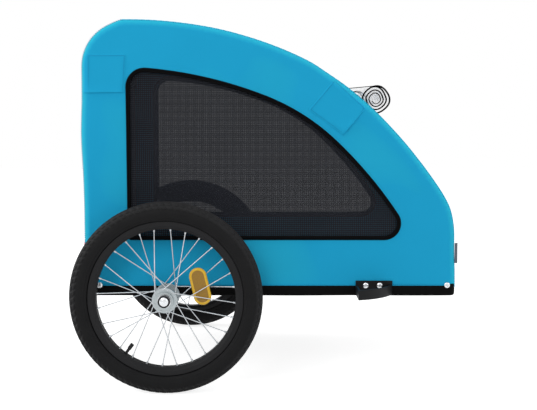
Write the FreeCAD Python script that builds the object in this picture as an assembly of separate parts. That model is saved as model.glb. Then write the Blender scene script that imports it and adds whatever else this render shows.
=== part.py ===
import FreeCAD, Part
import math
import os

# Two-wheeled dog trailer: a bent tube frame under a sewn cover, on 16-inch spoked wheels.
# +X is forward, +Y is the left side, +Z is up. The origin is on the ground, under the middle.
# All lengths are millimetres and all angles are degrees.

V = FreeCAD.Vector
X_AXIS = V(1, 0, 0)
Y_AXIS = V(0, 1, 0)
Z_AXIS = V(0, 0, 1)
ORIGIN = V(0, 0, 0)

# Fits and clearances
SEAT_GAP = 0.3
SHEET_GAP = 0.2
DOOR_GAP = 0.5
WELD_GAP = 0.05
RUNNING_GAP = 0.03
HOLE_GAP = 0.3
OVERRUN = 20.0

# Wheels
TYRE_DIAMETER = 400.0
TYRE_WIDTH = 47.0
TYRE_WALL = 6.0
BEAD_THICKNESS = 3.2
TRACK = 640.0
TUBE_WALL = 1.0
TYRE_HEIGHT = 40.0
RIM_FLANGE_HEIGHT = 7.5
RIM_DEPTH = 16.0
RIM_WIDTH = 27.0
RIM_WALL = 2.0
RIM_BED_WIDTH = 16.0
RIM_SIDE_HEIGHT = 9.0
SPOKE_COUNT = 28
SPOKE_CROSSES = 2
SPOKE_DIAMETER = 2.0
SPOKE_CIRCLE_DIAMETER = 44.0
SPOKE_RIM_OFFSET = 3.0
SPOKE_PHASE = -3.86
NIPPLE_DIAMETER = 4.0
NIPPLE_LENGTH = 11.0
NIPPLE_SINK = 4.0
VALVE_ANGLE = 234.0
VALVE_STEM_DIAMETER = 6.0
VALVE_CAP_DIAMETER = 8.0
VALVE_CAP_LENGTH = 12.0
VALVE_REACH = 39.0
WHEEL_REFLECTOR_LENGTH = 78.0
WHEEL_REFLECTOR_HEIGHT = 36.0
WHEEL_REFLECTOR_THICKNESS = 6.5
WHEEL_REFLECTOR_CORNER = 16.5
WHEEL_REFLECTOR_RADIUS = 76.0
WHEEL_REFLECTOR_ANGLE = 20.0
WHEEL_REFLECTOR_TURN = 103.0
WHEEL_REFLECTOR_DEPTH = 6.0

# Hubs and quick-release axles
HUB_LENGTH = 70.0
HUB_BARREL_DIAMETER = 26.0
HUB_END_DIAMETER = 36.0
HUB_FLANGE_DIAMETER = 52.0
HUB_FLANGE_THICKNESS = 3.0
HUB_FLANGE_SPACING = 54.0
HUB_BORE_DIAMETER = 18.0
BEARING_DIAMETER = 28.0
BEARING_WIDTH = 8.0
AXLE_DIAMETER = 12.0
AXLE_IN_BEAM = 100.0
AXLE_BORE_DIAMETER = 5.0
COLLAR_DIAMETER = 25.0
COLLAR_LENGTH = 8.0
BUTTON_DIAMETER = 18.0
BUTTON_WELL = 6.0
BUTTON_TRAVEL = 4.0
BUTTON_STOP = 0.5
BUTTON_RIM = 2.5
BUTTON_DOME = 2.2
BUTTON_ROD_DIAMETER = 4.9
BUTTON_ROD_STOP = 1.0
BALL_DIAMETER = 4.0
BALL_FROM_TIP = 12.0
BALL_SINK = 0.05

# Cover outline in the side view
COVER_HEIGHT = 565.0
COVER_FOOT_DROP = 5.0
COVER_WIDTH = 510.4
COVER_WALL = 2.0
AXLE_TO_REAR = 180.0
SEAM_INSET = 85.0
DOOR_CORNER_RADIUS = 100.0
ROOF_RADIUS = 1000.0
ROOF_TURN = 10.0
SLOPE_RADIUS = 715.0
FRONT_EDGE = 103.88
NOSE_RADIUS = 165.0
ROOF_LENGTH = 520.0

# Skirt band
SKIRT_DROP = 15.0
SKIRT_LAP = 12.0
SKIRT_HEM = 12.0

# Frame tubes
FRAME_TUBE = 22.0
FRAME_TUBE_WALL = 1.5
RAIL_OVER_AXLE = 15.0
ARCH_FOOT_DROP = 10.0
ARCH_REAR_INSET = 32.0
ARCH_CORNER_RADIUS = 70.0
CROSSBAR_TUBE = 16.0
CROSSBAR_WALL = 1.2
REAR_CROSSBAR_DROP = 115.0
FRONT_CROSSBAR_BEHIND = 8.5
CLIP_WALL = 4.0
CLIP_LENGTH = 26.0
CLIP_SOCKET = 18.0
BEAM_TUBE = 20.0
FLOOR_THICKNESS = 4.0
HUB_TO_BEAM = 1.0

# Side windows, measured from the rear face of the cover, and from its foot and top
WINDOW_LEFT = 92.5
WINDOW_RISE = 101.8
WINDOW_ARC_FORWARD = 63.1
WINDOW_TOP_DROP = 97.9
WINDOW_TOP_RADIUS = 890.8
WINDOW_BEND_RADIUS = 458.6
WINDOW_NOSE_RADIUS = 903.7
WINDOW_BEND_START = 21.3
WINDOW_BEND_END = 43.26
WINDOW_TOP_CORNER = 40.0
WINDOW_NOSE_CORNER = 35.6
WINDOW_FOOT_CORNER = 8.0
BINDING_WIDTH = 8.6
BINDING_THICKNESS = 2.4
HEM_LAP = 4.0
NET_LAP = 8.0
NET_THICKNESS = 1.2
NET_PITCH = 28.0
NET_STRAND = 5.0

# Front panel window
FRONT_WINDOW_SIDE = 62.0
FRONT_WINDOW_TOP = 72.0
FRONT_WINDOW_FOOT = 95.0
FRONT_WINDOW_CORNER = 30.0
FRONT_NET_PITCH = 26.0
FRONT_NET_STRAND = 5.0

# Rolled rain cover
ROLL_RADIUS = 25.0
ROLL_PITCH = 7.0
ROLL_TURNS = 3
ROLL_SHEET = 1.6
ROLL_END_INSET = 12.0
ROLL_AHEAD = 39.0

# Sewn tabs over the cross bar ends
TAB_THICKNESS = 2.0
REAR_TAB_LENGTH = 84.0
REAR_TAB_HEIGHT = 80.0
REAR_TAB_INSET = 9.0
REAR_TAB_DROP = 153.0
FRONT_TAB_LENGTH = 87.0
FRONT_TAB_HEIGHT = 64.0
FRONT_TAB_INSET = 16.0

# Side deflectors
DEFLECTOR_LENGTH = 78.0
DEFLECTOR_REACH = 68.0
DEFLECTOR_HEIGHT = 21.0
DEFLECTOR_WALL = 3.0
DEFLECTOR_FORWARD = 577.0
DEFLECTOR_PLATE_RISE = 10.0
DEFLECTOR_PLATE_DROP = 19.0
DEFLECTOR_SCREW_SPACING = 30.0
DEFLECTOR_SCREW_INSET = 21.0
DEFLECTOR_BOSS = 10.0
FIN_BOW_SHARE = 0.62

# Screws
SCREW_DIAMETER = 6.0
SCREW_HEAD_DIAMETER = 13.0
SCREW_HEAD_HEIGHT = 3.2
SCREW_HEAD_CROWN = 1.4
SCREW_BITE = 14.0

# Rear door, reflectors, zip sliders and seam tag
DOOR_RISE = 2.0
REFLECTOR_DIAMETER = 58.0
REFLECTOR_THICKNESS = 6.0
REFLECTOR_RIM = 1.5
REFLECTOR_RISE = 73.0
REFLECTOR_SIDE = 200.0
SLIDER_LENGTH = 14.0
SLIDER_WIDTH = 8.0
SLIDER_THICKNESS = 4.0
SLIDER_RISE = 22.0
SLIDER_INSET = 0.4
PULL_LENGTH = 22.0
PULL_WIDTH = 5.0
PULL_THICKNESS = 1.5
TAG_REACH = 7.0
TAG_RISE = 52.0
TAG_HEIGHT = 43.0
TAG_THICKNESS = 1.2

# Drawbar socket under the left rail
SOCKET_BORE = 25.4
SOCKET_WALL = 2.5
SOCKET_LENGTH = 140.0
SOCKET_INSET = 40.0
SOCKET_DROP = 8.0
SOCKET_PIN = 8.2
SOCKET_PIN_INSET = 30.0
SADDLE_WIDTH = 14.0
SADDLE_LENGTH = 20.0
SADDLE_INSET = 15.0

# Places worked out from the sizes above
AXLE_Z = TYRE_DIAMETER / 2
TYRE_RADIUS = TYRE_DIAMETER / 2
RIM_FLANGE_DIAMETER = TYRE_DIAMETER - 2 * TYRE_HEIGHT
RIM_SEAT_DIAMETER = RIM_FLANGE_DIAMETER - 2 * RIM_FLANGE_HEIGHT
RIM_INNER_DIAMETER = RIM_FLANGE_DIAMETER - 2 * RIM_DEPTH
RAIL_HEIGHT = AXLE_Z + RAIL_OVER_AXLE
COVER_BOTTOM = RAIL_HEIGHT - COVER_FOOT_DROP
COVER_TOP = COVER_BOTTOM + COVER_HEIGHT
SKIRT_BOTTOM = COVER_BOTTOM - SKIRT_DROP
SKIRT_TOP = COVER_BOTTOM + SKIRT_LAP
DEFLECTOR_PLATE_TOP = RAIL_HEIGHT + DEFLECTOR_PLATE_RISE
DEFLECTOR_PLATE_BOTTOM = RAIL_HEIGHT - DEFLECTOR_PLATE_DROP
ROOF_END = math.radians(ROOF_TURN)
ROOF_FALL = ROOF_RADIUS * (1 - math.cos(ROOF_END))
SLOPE_LEFT = ROOF_FALL + SLOPE_RADIUS * math.cos(ROOF_END) - COVER_HEIGHT + FRONT_EDGE
SLOPE_END = math.acos(SLOPE_LEFT / (SLOPE_RADIUS - NOSE_RADIUS))
ROOF_RUN = ROOF_RADIUS * math.sin(ROOF_END)
SLOPE_RUN = SLOPE_RADIUS * (math.sin(SLOPE_END) - math.sin(ROOF_END))
NOSE_RUN = NOSE_RADIUS * (1 - math.sin(SLOPE_END))
COVER_LENGTH = SEAM_INSET + ROOF_RUN + SLOPE_RUN + NOSE_RUN
AXLE_X = (TYRE_RADIUS + AXLE_TO_REAR - COVER_LENGTH - TAG_REACH) / 2
REAR_X = AXLE_X - AXLE_TO_REAR
FRONT_X = REAR_X + COVER_LENGTH
SEAM_X = REAR_X + SEAM_INSET
PANEL_OUT = COVER_WIDTH / 2
PANEL_IN = PANEL_OUT - COVER_WALL
STRIP_HALF = PANEL_IN - SHEET_GAP
SKIRT_OUT = PANEL_IN - SHEET_GAP
TUBE_RADIUS = FRAME_TUBE / 2
ARCH_Y = PANEL_IN - SEAT_GAP - TUBE_RADIUS
RAIL_Y = ARCH_Y - FRAME_TUBE - SEAT_GAP
ARCH_INSET = COVER_WALL + SEAT_GAP + TUBE_RADIUS
ARCH_REAR_X = REAR_X + ARCH_REAR_INSET
ARCH_FRONT_X = FRONT_X - ARCH_INSET
WHEEL_Y = TRACK / 2
HUB_HALF = HUB_LENGTH / 2
BEAM_HALF = WHEEL_Y - HUB_HALF - HUB_TO_BEAM
TRIM_Y = PANEL_OUT + SHEET_GAP
RAIL_FRONT_X = FRONT_X - 2 * (COVER_WALL + SEAT_GAP)

# Centres of the roof, slope, nose and rear corner arcs
ROOF_CENTRE = V(SEAM_X, 0, COVER_TOP - ROOF_RADIUS)
SLOPE_STEP = ROOF_RADIUS - SLOPE_RADIUS
SLOPE_CENTRE = ROOF_CENTRE + V(math.sin(ROOF_END), 0, math.cos(ROOF_END)) * SLOPE_STEP
NOSE_STEP = SLOPE_RADIUS - NOSE_RADIUS
NOSE_CENTRE = SLOPE_CENTRE + V(math.sin(SLOPE_END), 0, math.cos(SLOPE_END)) * NOSE_STEP
CORNER_RISE = math.sqrt(DOOR_CORNER_RADIUS ** 2 - (DOOR_CORNER_RADIUS - SEAM_INSET) ** 2)
CORNER_CENTRE = V(REAR_X + DOOR_CORNER_RADIUS, 0, COVER_TOP - CORNER_RISE)


def cylinder(radius, start, end):
    """A round bar from one point to another."""
    way = end - start
    return Part.makeCylinder(radius, way.Length, start, way)


def tube(outer, inner, start, end):
    """A round tube, open at both ends."""
    way = end - start
    way.normalize()
    return cylinder(outer, start, end).cut(cylinder(inner, start - way * OVERRUN, end + way * OVERRUN))


def box_between(low, high):
    """A box given by two opposite corners."""
    size = high - low
    return Part.makeBox(size.x, size.y, size.z, low)


def on_arc(centre, radius, turn):
    """The point of an arc in the side view, turned forward from straight up."""
    return centre + V(math.sin(turn), 0, math.cos(turn)) * radius


def arc_edge(centre, radius, start, end):
    """An arc in the side view between two turns from straight up."""
    middle = on_arc(centre, radius, (start + end) / 2)
    return Part.Arc(on_arc(centre, radius, start), middle, on_arc(centre, radius, end)).toShape()


def line(start, end):
    """A straight edge."""
    return Part.LineSegment(start, end).toShape()


def turned(points):
    """A closed outline of across-and-radius points, turned about the wheel's axis."""
    corners = [V(0, across, radius) for across, radius in points]
    return Part.Face(Part.makePolygon(corners + corners[:1])).revolve(ORIGIN, Y_AXIS, 360)


def spread(face, low, high):
    """A side-view face given its thickness across the trailer."""
    moved = face.copy()
    moved.translate(V(0, low, 0))
    return moved.extrude(V(0, high - low, 0))


def mirrored(shape):
    """The same piece on the other side of the trailer."""
    return shape.mirror(ORIGIN, Y_AXIS)


def solid_of(shape):
    """The main solid that a cut or a fuse left."""
    return max(shape.Solids, key=lambda solid: solid.Volume)


def save(name, shape):
    """Writes one piece."""
    shape.exportStep("parts/" + name + ".step")


def save_pair(name, shape):
    """Writes a right-hand piece, modelled at -Y, and its left-hand twin."""
    save(name + "_right", shape)
    save(name + "_left", mirrored(shape))


# Cover outline

def cover_wire():
    """The side panel's outline: rear edge, rounded corner, roof, slope, nose and foot."""
    corner_low = V(REAR_X, 0, CORNER_CENTRE.z)
    corner_mid_turn = (math.atan2(SEAM_X - CORNER_CENTRE.x, COVER_TOP - CORNER_CENTRE.z) - math.pi / 2) / 2
    corner_mid = on_arc(CORNER_CENTRE, DOOR_CORNER_RADIUS, corner_mid_turn)
    seam = V(SEAM_X, 0, COVER_TOP)
    rear_foot = V(REAR_X, 0, COVER_BOTTOM)
    front_foot = V(FRONT_X, 0, COVER_BOTTOM)
    nose_low = V(FRONT_X, 0, NOSE_CENTRE.z)
    return Part.Wire([
        line(rear_foot, corner_low),
        Part.Arc(corner_low, corner_mid, seam).toShape(),
        arc_edge(ROOF_CENTRE, ROOF_RADIUS, 0, ROOF_END),
        arc_edge(SLOPE_CENTRE, SLOPE_RADIUS, ROOF_END, SLOPE_END),
        arc_edge(NOSE_CENTRE, NOSE_RADIUS, SLOPE_END, math.pi / 2),
        line(nose_low, front_foot),
        line(front_foot, rear_foot),
    ])


def roof_strip(depth, wall, start, end):
    """A band of the roof and slope between two turns, this deep under the cover's outside."""
    outside = []
    inside = []
    steps = [start] + [t for t in (ROOF_END, SLOPE_END) if start < t < end] + [end]
    for low, high in zip(steps, steps[1:]):
        if low < ROOF_END:
            centre, radius = ROOF_CENTRE, ROOF_RADIUS
        elif low < SLOPE_END:
            centre, radius = SLOPE_CENTRE, SLOPE_RADIUS
        else:
            centre, radius = NOSE_CENTRE, NOSE_RADIUS
        outside.append(arc_edge(centre, radius - depth, low, high))
        inside.append(arc_edge(centre, radius - depth - wall, low, high))
    return outside, inside


def strip_face(outside, inside):
    """The face between an outer and an inner run of edges."""
    first = line(outside[0].Vertexes[0].Point, inside[0].Vertexes[0].Point)
    last = line(outside[-1].Vertexes[-1].Point, inside[-1].Vertexes[-1].Point)
    return Part.Face(Part.Wire(Part.__sortEdges__(outside + inside + [first, last])))


def turn_at(length):
    """The turn that the roof line reaches this far along from the seam."""
    roof = ROOF_RADIUS * ROOF_END
    if length <= roof:
        return length / ROOF_RADIUS
    return ROOF_END + (length - roof) / SLOPE_RADIUS


# Windows

def window_face():
    """The outside of the binding round a side window: upright rear edge, level foot and arched top."""
    left_x = REAR_X + WINDOW_LEFT
    bottom = COVER_BOTTOM + WINDOW_RISE
    bend_start = math.radians(WINDOW_BEND_START)
    bend_end = math.radians(WINDOW_BEND_END)
    first = V(REAR_X + WINDOW_ARC_FORWARD, 0, COVER_TOP - WINDOW_TOP_DROP - WINDOW_TOP_RADIUS)
    second = on_arc(first, WINDOW_TOP_RADIUS - WINDOW_BEND_RADIUS, bend_start)
    third = on_arc(second, WINDOW_BEND_RADIUS - WINDOW_NOSE_RADIUS, bend_end)
    top_turn = math.asin((left_x - first.x) / WINDOW_TOP_RADIUS)
    nose_turn = math.acos((bottom - third.z) / WINDOW_NOSE_RADIUS)
    top = on_arc(first, WINDOW_TOP_RADIUS, top_turn)
    nose = on_arc(third, WINDOW_NOSE_RADIUS, nose_turn)
    foot = V(left_x, 0, bottom)
    wire = Part.Wire([
        line(foot, top),
        arc_edge(first, WINDOW_TOP_RADIUS, top_turn, bend_start),
        arc_edge(second, WINDOW_BEND_RADIUS, bend_start, bend_end),
        arc_edge(third, WINDOW_NOSE_RADIUS, bend_end, nose_turn),
        line(nose, foot),
    ])
    corners = (WINDOW_FOOT_CORNER, WINDOW_TOP_CORNER, WINDOW_NOSE_CORNER)
    block = Part.Face(wire).extrude(Y_AXIS * OVERRUN)
    for place, radius in zip((foot, top, nose), corners):
        edge = min(
            (e for e in block.Edges if e.Vertexes[0].Point.distanceToPoint(e.Vertexes[-1].Point) > 0
             and abs(e.Vertexes[0].Point.y - e.Vertexes[-1].Point.y) > OVERRUN / 2),
            key=lambda e: e.CenterOfMass.distanceToPoint(place + Y_AXIS * OVERRUN / 2),
        )
        block = block.makeFillet(radius, [edge])
    return min(block.Faces, key=lambda f: f.CenterOfMass.y)


def shifted(face, distance):
    """The same outline, grown or shrunk evenly."""
    return face.makeOffset2D(distance)


def square_hole(x, z, size):
    """A square gap of the net, as a wire in the side view."""
    half = size / 2
    places = [V(x + i * half, 0, z + k * half) for i, k in ((-1, -1), (1, -1), (1, 1), (-1, 1))]
    return Part.makePolygon(places + places[:1])


def window_net():
    """A flat net: one face with a square gap wherever a whole one fits inside the binding."""
    room = shifted(window_face(), -BINDING_WIDTH - NET_STRAND)
    sheet = shifted(window_face(), NET_LAP - BINDING_WIDTH)
    limits = room.BoundBox
    holes = []
    for column in range(int(limits.XLength / NET_PITCH)):
        for row in range(int(limits.ZLength / NET_PITCH)):
            x = limits.XMin + (column + 0.5) * NET_PITCH
            z = limits.ZMin + (row + 0.5) * NET_PITCH
            hole = square_hole(x, z, NET_PITCH - NET_STRAND)
            if all(room.isInside(v.Point, WELD_GAP, True) for v in hole.Vertexes):
                holes.append(hole)
    return Part.Face([sheet.OuterWire] + holes)


# Base frame

def base_rail():
    """Right base rail with the notch where the axle beam is welded in, and its screw holes."""
    low = V(ARCH_REAR_X - TUBE_RADIUS, -RAIL_Y, RAIL_HEIGHT)
    high = V(RAIL_FRONT_X, -RAIL_Y, RAIL_HEIGHT)
    rail = tube(TUBE_RADIUS, TUBE_RADIUS - FRAME_TUBE_WALL, low, high)
    rail = rail.cut(cylinder(BEAM_TUBE / 2 + WELD_GAP, V(AXLE_X, -PANEL_OUT, AXLE_Z), V(AXLE_X, 0, AXLE_Z)))
    for x in screw_places():
        start = V(x, -RAIL_Y - TUBE_RADIUS - OVERRUN, RAIL_HEIGHT)
        rail = rail.cut(cylinder(SCREW_DIAMETER / 2 + WELD_GAP, start, V(x, -RAIL_Y, RAIL_HEIGHT)))
    return solid_of(rail)


def screw_places():
    """Where screws run across into a base rail: two arch feet and two deflector bosses."""
    return [ARCH_REAR_X, ARCH_FRONT_X] + deflector_screws()


def deflector_screws():
    """The two screws of a side deflector."""
    first = REAR_X + DEFLECTOR_FORWARD + DEFLECTOR_SCREW_INSET
    return [first, first + DEFLECTOR_SCREW_SPACING]


def cross_tube(x):
    """A tube between the rails, its ends cut to the rails' round."""
    bar = cylinder(TUBE_RADIUS, V(x, -RAIL_Y, RAIL_HEIGHT), V(x, RAIL_Y, RAIL_HEIGHT))
    bore = cylinder(TUBE_RADIUS - FRAME_TUBE_WALL, V(x, -RAIL_Y, RAIL_HEIGHT), V(x, RAIL_Y, RAIL_HEIGHT))
    for side in (-RAIL_Y, RAIL_Y):
        start = V(x - FRAME_TUBE - OVERRUN, side, RAIL_HEIGHT)
        end = V(x + FRAME_TUBE + OVERRUN, side, RAIL_HEIGHT)
        bar = bar.cut(cylinder(TUBE_RADIUS + WELD_GAP, start, end))
    return solid_of(bar.cut(bore))


def axle_beam():
    """The beam under the floor that takes an axle in each end."""
    inner = AXLE_DIAMETER / 2 + RUNNING_GAP
    return tube(BEAM_TUBE / 2, inner, V(AXLE_X, -BEAM_HALF, AXLE_Z), V(AXLE_X, BEAM_HALF, AXLE_Z))


def floor_panel():
    """The stiff floor, resting on the rails and clear of the arch feet."""
    bottom = RAIL_HEIGHT + TUBE_RADIUS + SEAT_GAP
    half = ARCH_Y - TUBE_RADIUS - SEAT_GAP
    low = V(ARCH_REAR_X - TUBE_RADIUS, -half, bottom)
    return box_between(low, V(ARCH_FRONT_X + TUBE_RADIUS, half, bottom + FLOOR_THICKNESS))


def arch_path():
    """The middle line of a side arch, from its rear foot over the roof to its front foot."""
    roof = ROOF_RADIUS - ARCH_INSET
    corner_x = ARCH_REAR_X + ARCH_CORNER_RADIUS
    reach = roof - ARCH_CORNER_RADIUS
    lift = math.sqrt(reach ** 2 - (corner_x - ROOF_CENTRE.x) ** 2)
    corner = V(corner_x, 0, ROOF_CENTRE.z + lift)
    meet = math.asin((corner_x - ROOF_CENTRE.x) / reach)
    foot = RAIL_HEIGHT - ARCH_FOOT_DROP
    return [
        line(V(ARCH_REAR_X, 0, foot), V(ARCH_REAR_X, 0, corner.z)),
        arc_edge(corner, ARCH_CORNER_RADIUS, -math.pi / 2, meet),
        arc_edge(ROOF_CENTRE, roof, meet, ROOF_END),
        arc_edge(SLOPE_CENTRE, SLOPE_RADIUS - ARCH_INSET, ROOF_END, SLOPE_END),
        arc_edge(NOSE_CENTRE, NOSE_RADIUS - ARCH_INSET, SLOPE_END, math.pi / 2),
        line(V(ARCH_FRONT_X, 0, NOSE_CENTRE.z), V(ARCH_FRONT_X, 0, foot)),
    ]


def side_arch():
    """Right side arch, a bent tube with a screw hole through each foot."""
    path = Part.Wire(arch_path())
    start = V(ARCH_REAR_X, 0, RAIL_HEIGHT - ARCH_FOOT_DROP)
    radii = (TUBE_RADIUS, TUBE_RADIUS - FRAME_TUBE_WALL)
    rings = [Part.Wire(Part.makeCircle(radius, start, Z_AXIS)) for radius in radii]
    outside, inside = [path.makePipeShell([ring], True, False) for ring in rings]
    arch = outside.cut(inside)
    for x in (ARCH_REAR_X, ARCH_FRONT_X):
        across = V(x, -FRAME_TUBE, RAIL_HEIGHT)
        arch = arch.cut(cylinder(SCREW_DIAMETER / 2 + HOLE_GAP, across, V(x, FRAME_TUBE, RAIL_HEIGHT)))
    arch = solid_of(arch)
    arch.translate(V(0, -ARCH_Y, 0))
    return arch


def crossbar_places():
    """Where the two cross bars meet the side arches, with the direction of the tube there."""
    turn = turn_at(ROOF_LENGTH - FRONT_CROSSBAR_BEHIND)
    front = on_arc(SLOPE_CENTRE, SLOPE_RADIUS - ARCH_INSET, turn)
    return [
        (V(ARCH_REAR_X, 0, COVER_TOP - REAR_CROSSBAR_DROP), Z_AXIS),
        (front, V(math.cos(turn), 0, -math.sin(turn))),
    ]


def crossbar(place):
    """A tube across the cabin between two clips."""
    half = ARCH_Y - TUBE_RADIUS - CLIP_WALL - SEAT_GAP
    start = V(place.x, -half, place.z)
    return tube(CROSSBAR_TUBE / 2, CROSSBAR_TUBE / 2 - CROSSBAR_WALL, start, V(place.x, half, place.z))


def crossbar_clip(place, way):
    """A moulded clip: a sleeve round the arch with a socket for the cross bar."""
    centre = V(place.x, -ARCH_Y, place.z)
    bore = TUBE_RADIUS + SEAT_GAP
    half = way * (CLIP_LENGTH / 2)
    sleeve = cylinder(bore + CLIP_WALL, centre - half, centre + half)
    socket_end = centre + V(0, bore + CLIP_WALL + CLIP_SOCKET, 0)
    clip = sleeve.fuse(cylinder(CROSSBAR_TUBE / 2 + CLIP_WALL, centre, socket_end))
    seat = centre + V(0, TUBE_RADIUS + CLIP_WALL, 0)
    clip = clip.cut(cylinder(CROSSBAR_TUBE / 2 + WELD_GAP, seat, socket_end + V(0, OVERRUN, 0)))
    reach = way * (CLIP_LENGTH + OVERRUN)
    clip = clip.cut(cylinder(bore, centre - reach, centre + reach))
    flat = box_between(
        V(REAR_X - OVERRUN, -PANEL_OUT - FRAME_TUBE, 0),
        V(FRONT_X + OVERRUN, -PANEL_IN + SHEET_GAP, COVER_TOP + OVERRUN),
    )
    clip = clip.cut(flat)
    if place.x > SEAM_X:
        under = SLOPE_RADIUS - COVER_WALL - SHEET_GAP
        start = SLOPE_CENTRE - Y_AXIS * COVER_WIDTH
        clip = clip.cut(tube(SLOPE_RADIUS + OVERRUN, under, start, SLOPE_CENTRE))
    return solid_of(clip)


def crossbar_clips():
    """All four clips."""
    right = [crossbar_clip(place, way) for place, way in crossbar_places()]
    return Part.makeCompound(right + [mirrored(clip) for clip in right])


def drawbar_socket():
    """The tube under the left rail that takes a drawbar, with its pin hole and two saddles."""
    outer = SOCKET_BORE / 2 + SOCKET_WALL
    height = RAIL_HEIGHT - TUBE_RADIUS - outer - SOCKET_DROP
    mouth = ARCH_FRONT_X - SOCKET_INSET
    start = V(mouth - SOCKET_LENGTH, RAIL_Y, height)
    end = V(mouth, RAIL_Y, height)
    body = cylinder(outer, start, end)
    for x in (start.x + SADDLE_INSET, mouth - SADDLE_INSET - SADDLE_LENGTH):
        low = V(x, RAIL_Y - SADDLE_WIDTH / 2, height)
        body = body.fuse(box_between(low, V(x + SADDLE_LENGTH, RAIL_Y + SADDLE_WIDTH / 2, RAIL_HEIGHT)))
    body = body.cut(cylinder(SOCKET_BORE / 2, start - X_AXIS * OVERRUN, end + X_AXIS * OVERRUN))
    rail_end = V(mouth + OVERRUN, RAIL_Y, RAIL_HEIGHT)
    body = body.cut(cylinder(TUBE_RADIUS + WELD_GAP, V(start.x - OVERRUN, RAIL_Y, RAIL_HEIGHT), rail_end))
    pin = V(mouth - SOCKET_PIN_INSET, RAIL_Y, height)
    across = Y_AXIS * (outer + OVERRUN)
    return solid_of(body.cut(cylinder(SOCKET_PIN / 2, pin - across, pin + across)))


# Sewn cover

def screw_holes(places, radius):
    """Bars that cut round holes through the side sheets."""
    bars = []
    for x in places:
        start = V(x, -PANEL_OUT - OVERRUN, RAIL_HEIGHT)
        bars.append(cylinder(radius, start, V(x, -ARCH_Y, RAIL_HEIGHT)))
    return Part.makeCompound(bars)


def cover_holes():
    """Every hole that the frame's screws and bosses need in a side sheet."""
    arch = screw_holes([ARCH_REAR_X, ARCH_FRONT_X], SCREW_DIAMETER / 2 + HOLE_GAP)
    boss = screw_holes(deflector_screws(), DEFLECTOR_BOSS / 2 + HOLE_GAP)
    return arch.fuse(boss)


def beam_room():
    """The room that the axle beam takes up where it passes the cover."""
    return cylinder(BEAM_TUBE / 2 + SEAT_GAP, V(AXLE_X, -BEAM_HALF, AXLE_Z), V(AXLE_X, BEAM_HALF, AXLE_Z))


def side_panel():
    """Right side panel with its window cut out."""
    hole = shifted(window_face(), -BINDING_WIDTH / 2)
    sheet = Part.Face([cover_wire(), hole.OuterWire])
    return solid_of(spread(sheet, -PANEL_OUT, -PANEL_IN).cut(cover_holes()).cut(beam_room()))


def window_border():
    """The hem tape behind the side panel that the net is sewn to."""
    edge = window_face()
    ring = Part.Face([shifted(edge, HEM_LAP).OuterWire, shifted(edge, -BINDING_WIDTH).OuterWire])
    return spread(ring, -PANEL_IN + SHEET_GAP, -PANEL_IN + SHEET_GAP + COVER_WALL)


def window_mesh():
    """The net behind the hem tape, over the whole window."""
    outer = -PANEL_IN + COVER_WALL + 2 * SHEET_GAP
    return spread(window_net(), outer, outer + NET_THICKNESS)


def window_binding():
    """The raised binding round the window."""
    edge = window_face()
    ring = Part.Face([edge.OuterWire, shifted(edge, -BINDING_WIDTH).OuterWire])
    return spread(ring, -TRIM_Y - BINDING_THICKNESS, -TRIM_Y)


def roof_panel():
    """The roof, from the rear seam to where the rain cover is sewn on."""
    outside, inside = roof_strip(0, COVER_WALL, 0, turn_at(ROOF_LENGTH))
    return spread(strip_face(outside, inside), -STRIP_HALF, STRIP_HALF)


def front_face(depth, wall, start):
    """The side view of the front, from a turn of the slope down to the cover's foot."""
    outside, inside = roof_strip(depth, wall, start, math.pi / 2)
    outer_x = FRONT_X - depth
    inner_x = outer_x - wall
    bottom = COVER_BOTTOM + SEAT_GAP
    outside.append(line(V(outer_x, 0, NOSE_CENTRE.z), V(outer_x, 0, bottom)))
    inside.append(line(V(inner_x, 0, NOSE_CENTRE.z), V(inner_x, 0, bottom)))
    return strip_face(outside, inside)


def front_window(grow):
    """A block, square to the slope, that cuts the front window or one a little larger."""
    top = on_arc(SLOPE_CENTRE, SLOPE_RADIUS, turn_at(ROOF_LENGTH + FRONT_WINDOW_TOP))
    foot = V(FRONT_X, 0, COVER_BOTTOM + FRONT_WINDOW_FOOT)
    run = foot - top
    half = STRIP_HALF - FRONT_WINDOW_SIDE + grow
    depth = run.Length / 2
    block = Part.makeBox(run.Length + 2 * grow, 2 * half, 2 * depth, V(-grow, -half, -depth))
    corners = [e for e in block.Edges if abs(e.Vertexes[0].Point.z - e.Vertexes[-1].Point.z) > depth]
    block = block.makeFillet(FRONT_WINDOW_CORNER, corners)
    block.Placement = FreeCAD.Placement(top, FreeCAD.Rotation(X_AXIS, run))
    return block


def front_panel():
    """The front, below the rain cover, with its window cut out."""
    start = turn_at(ROOF_LENGTH + DOOR_GAP)
    sheet = spread(front_face(0, COVER_WALL, start), -STRIP_HALF, STRIP_HALF)
    return solid_of(sheet.cut(front_window(0)))


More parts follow.
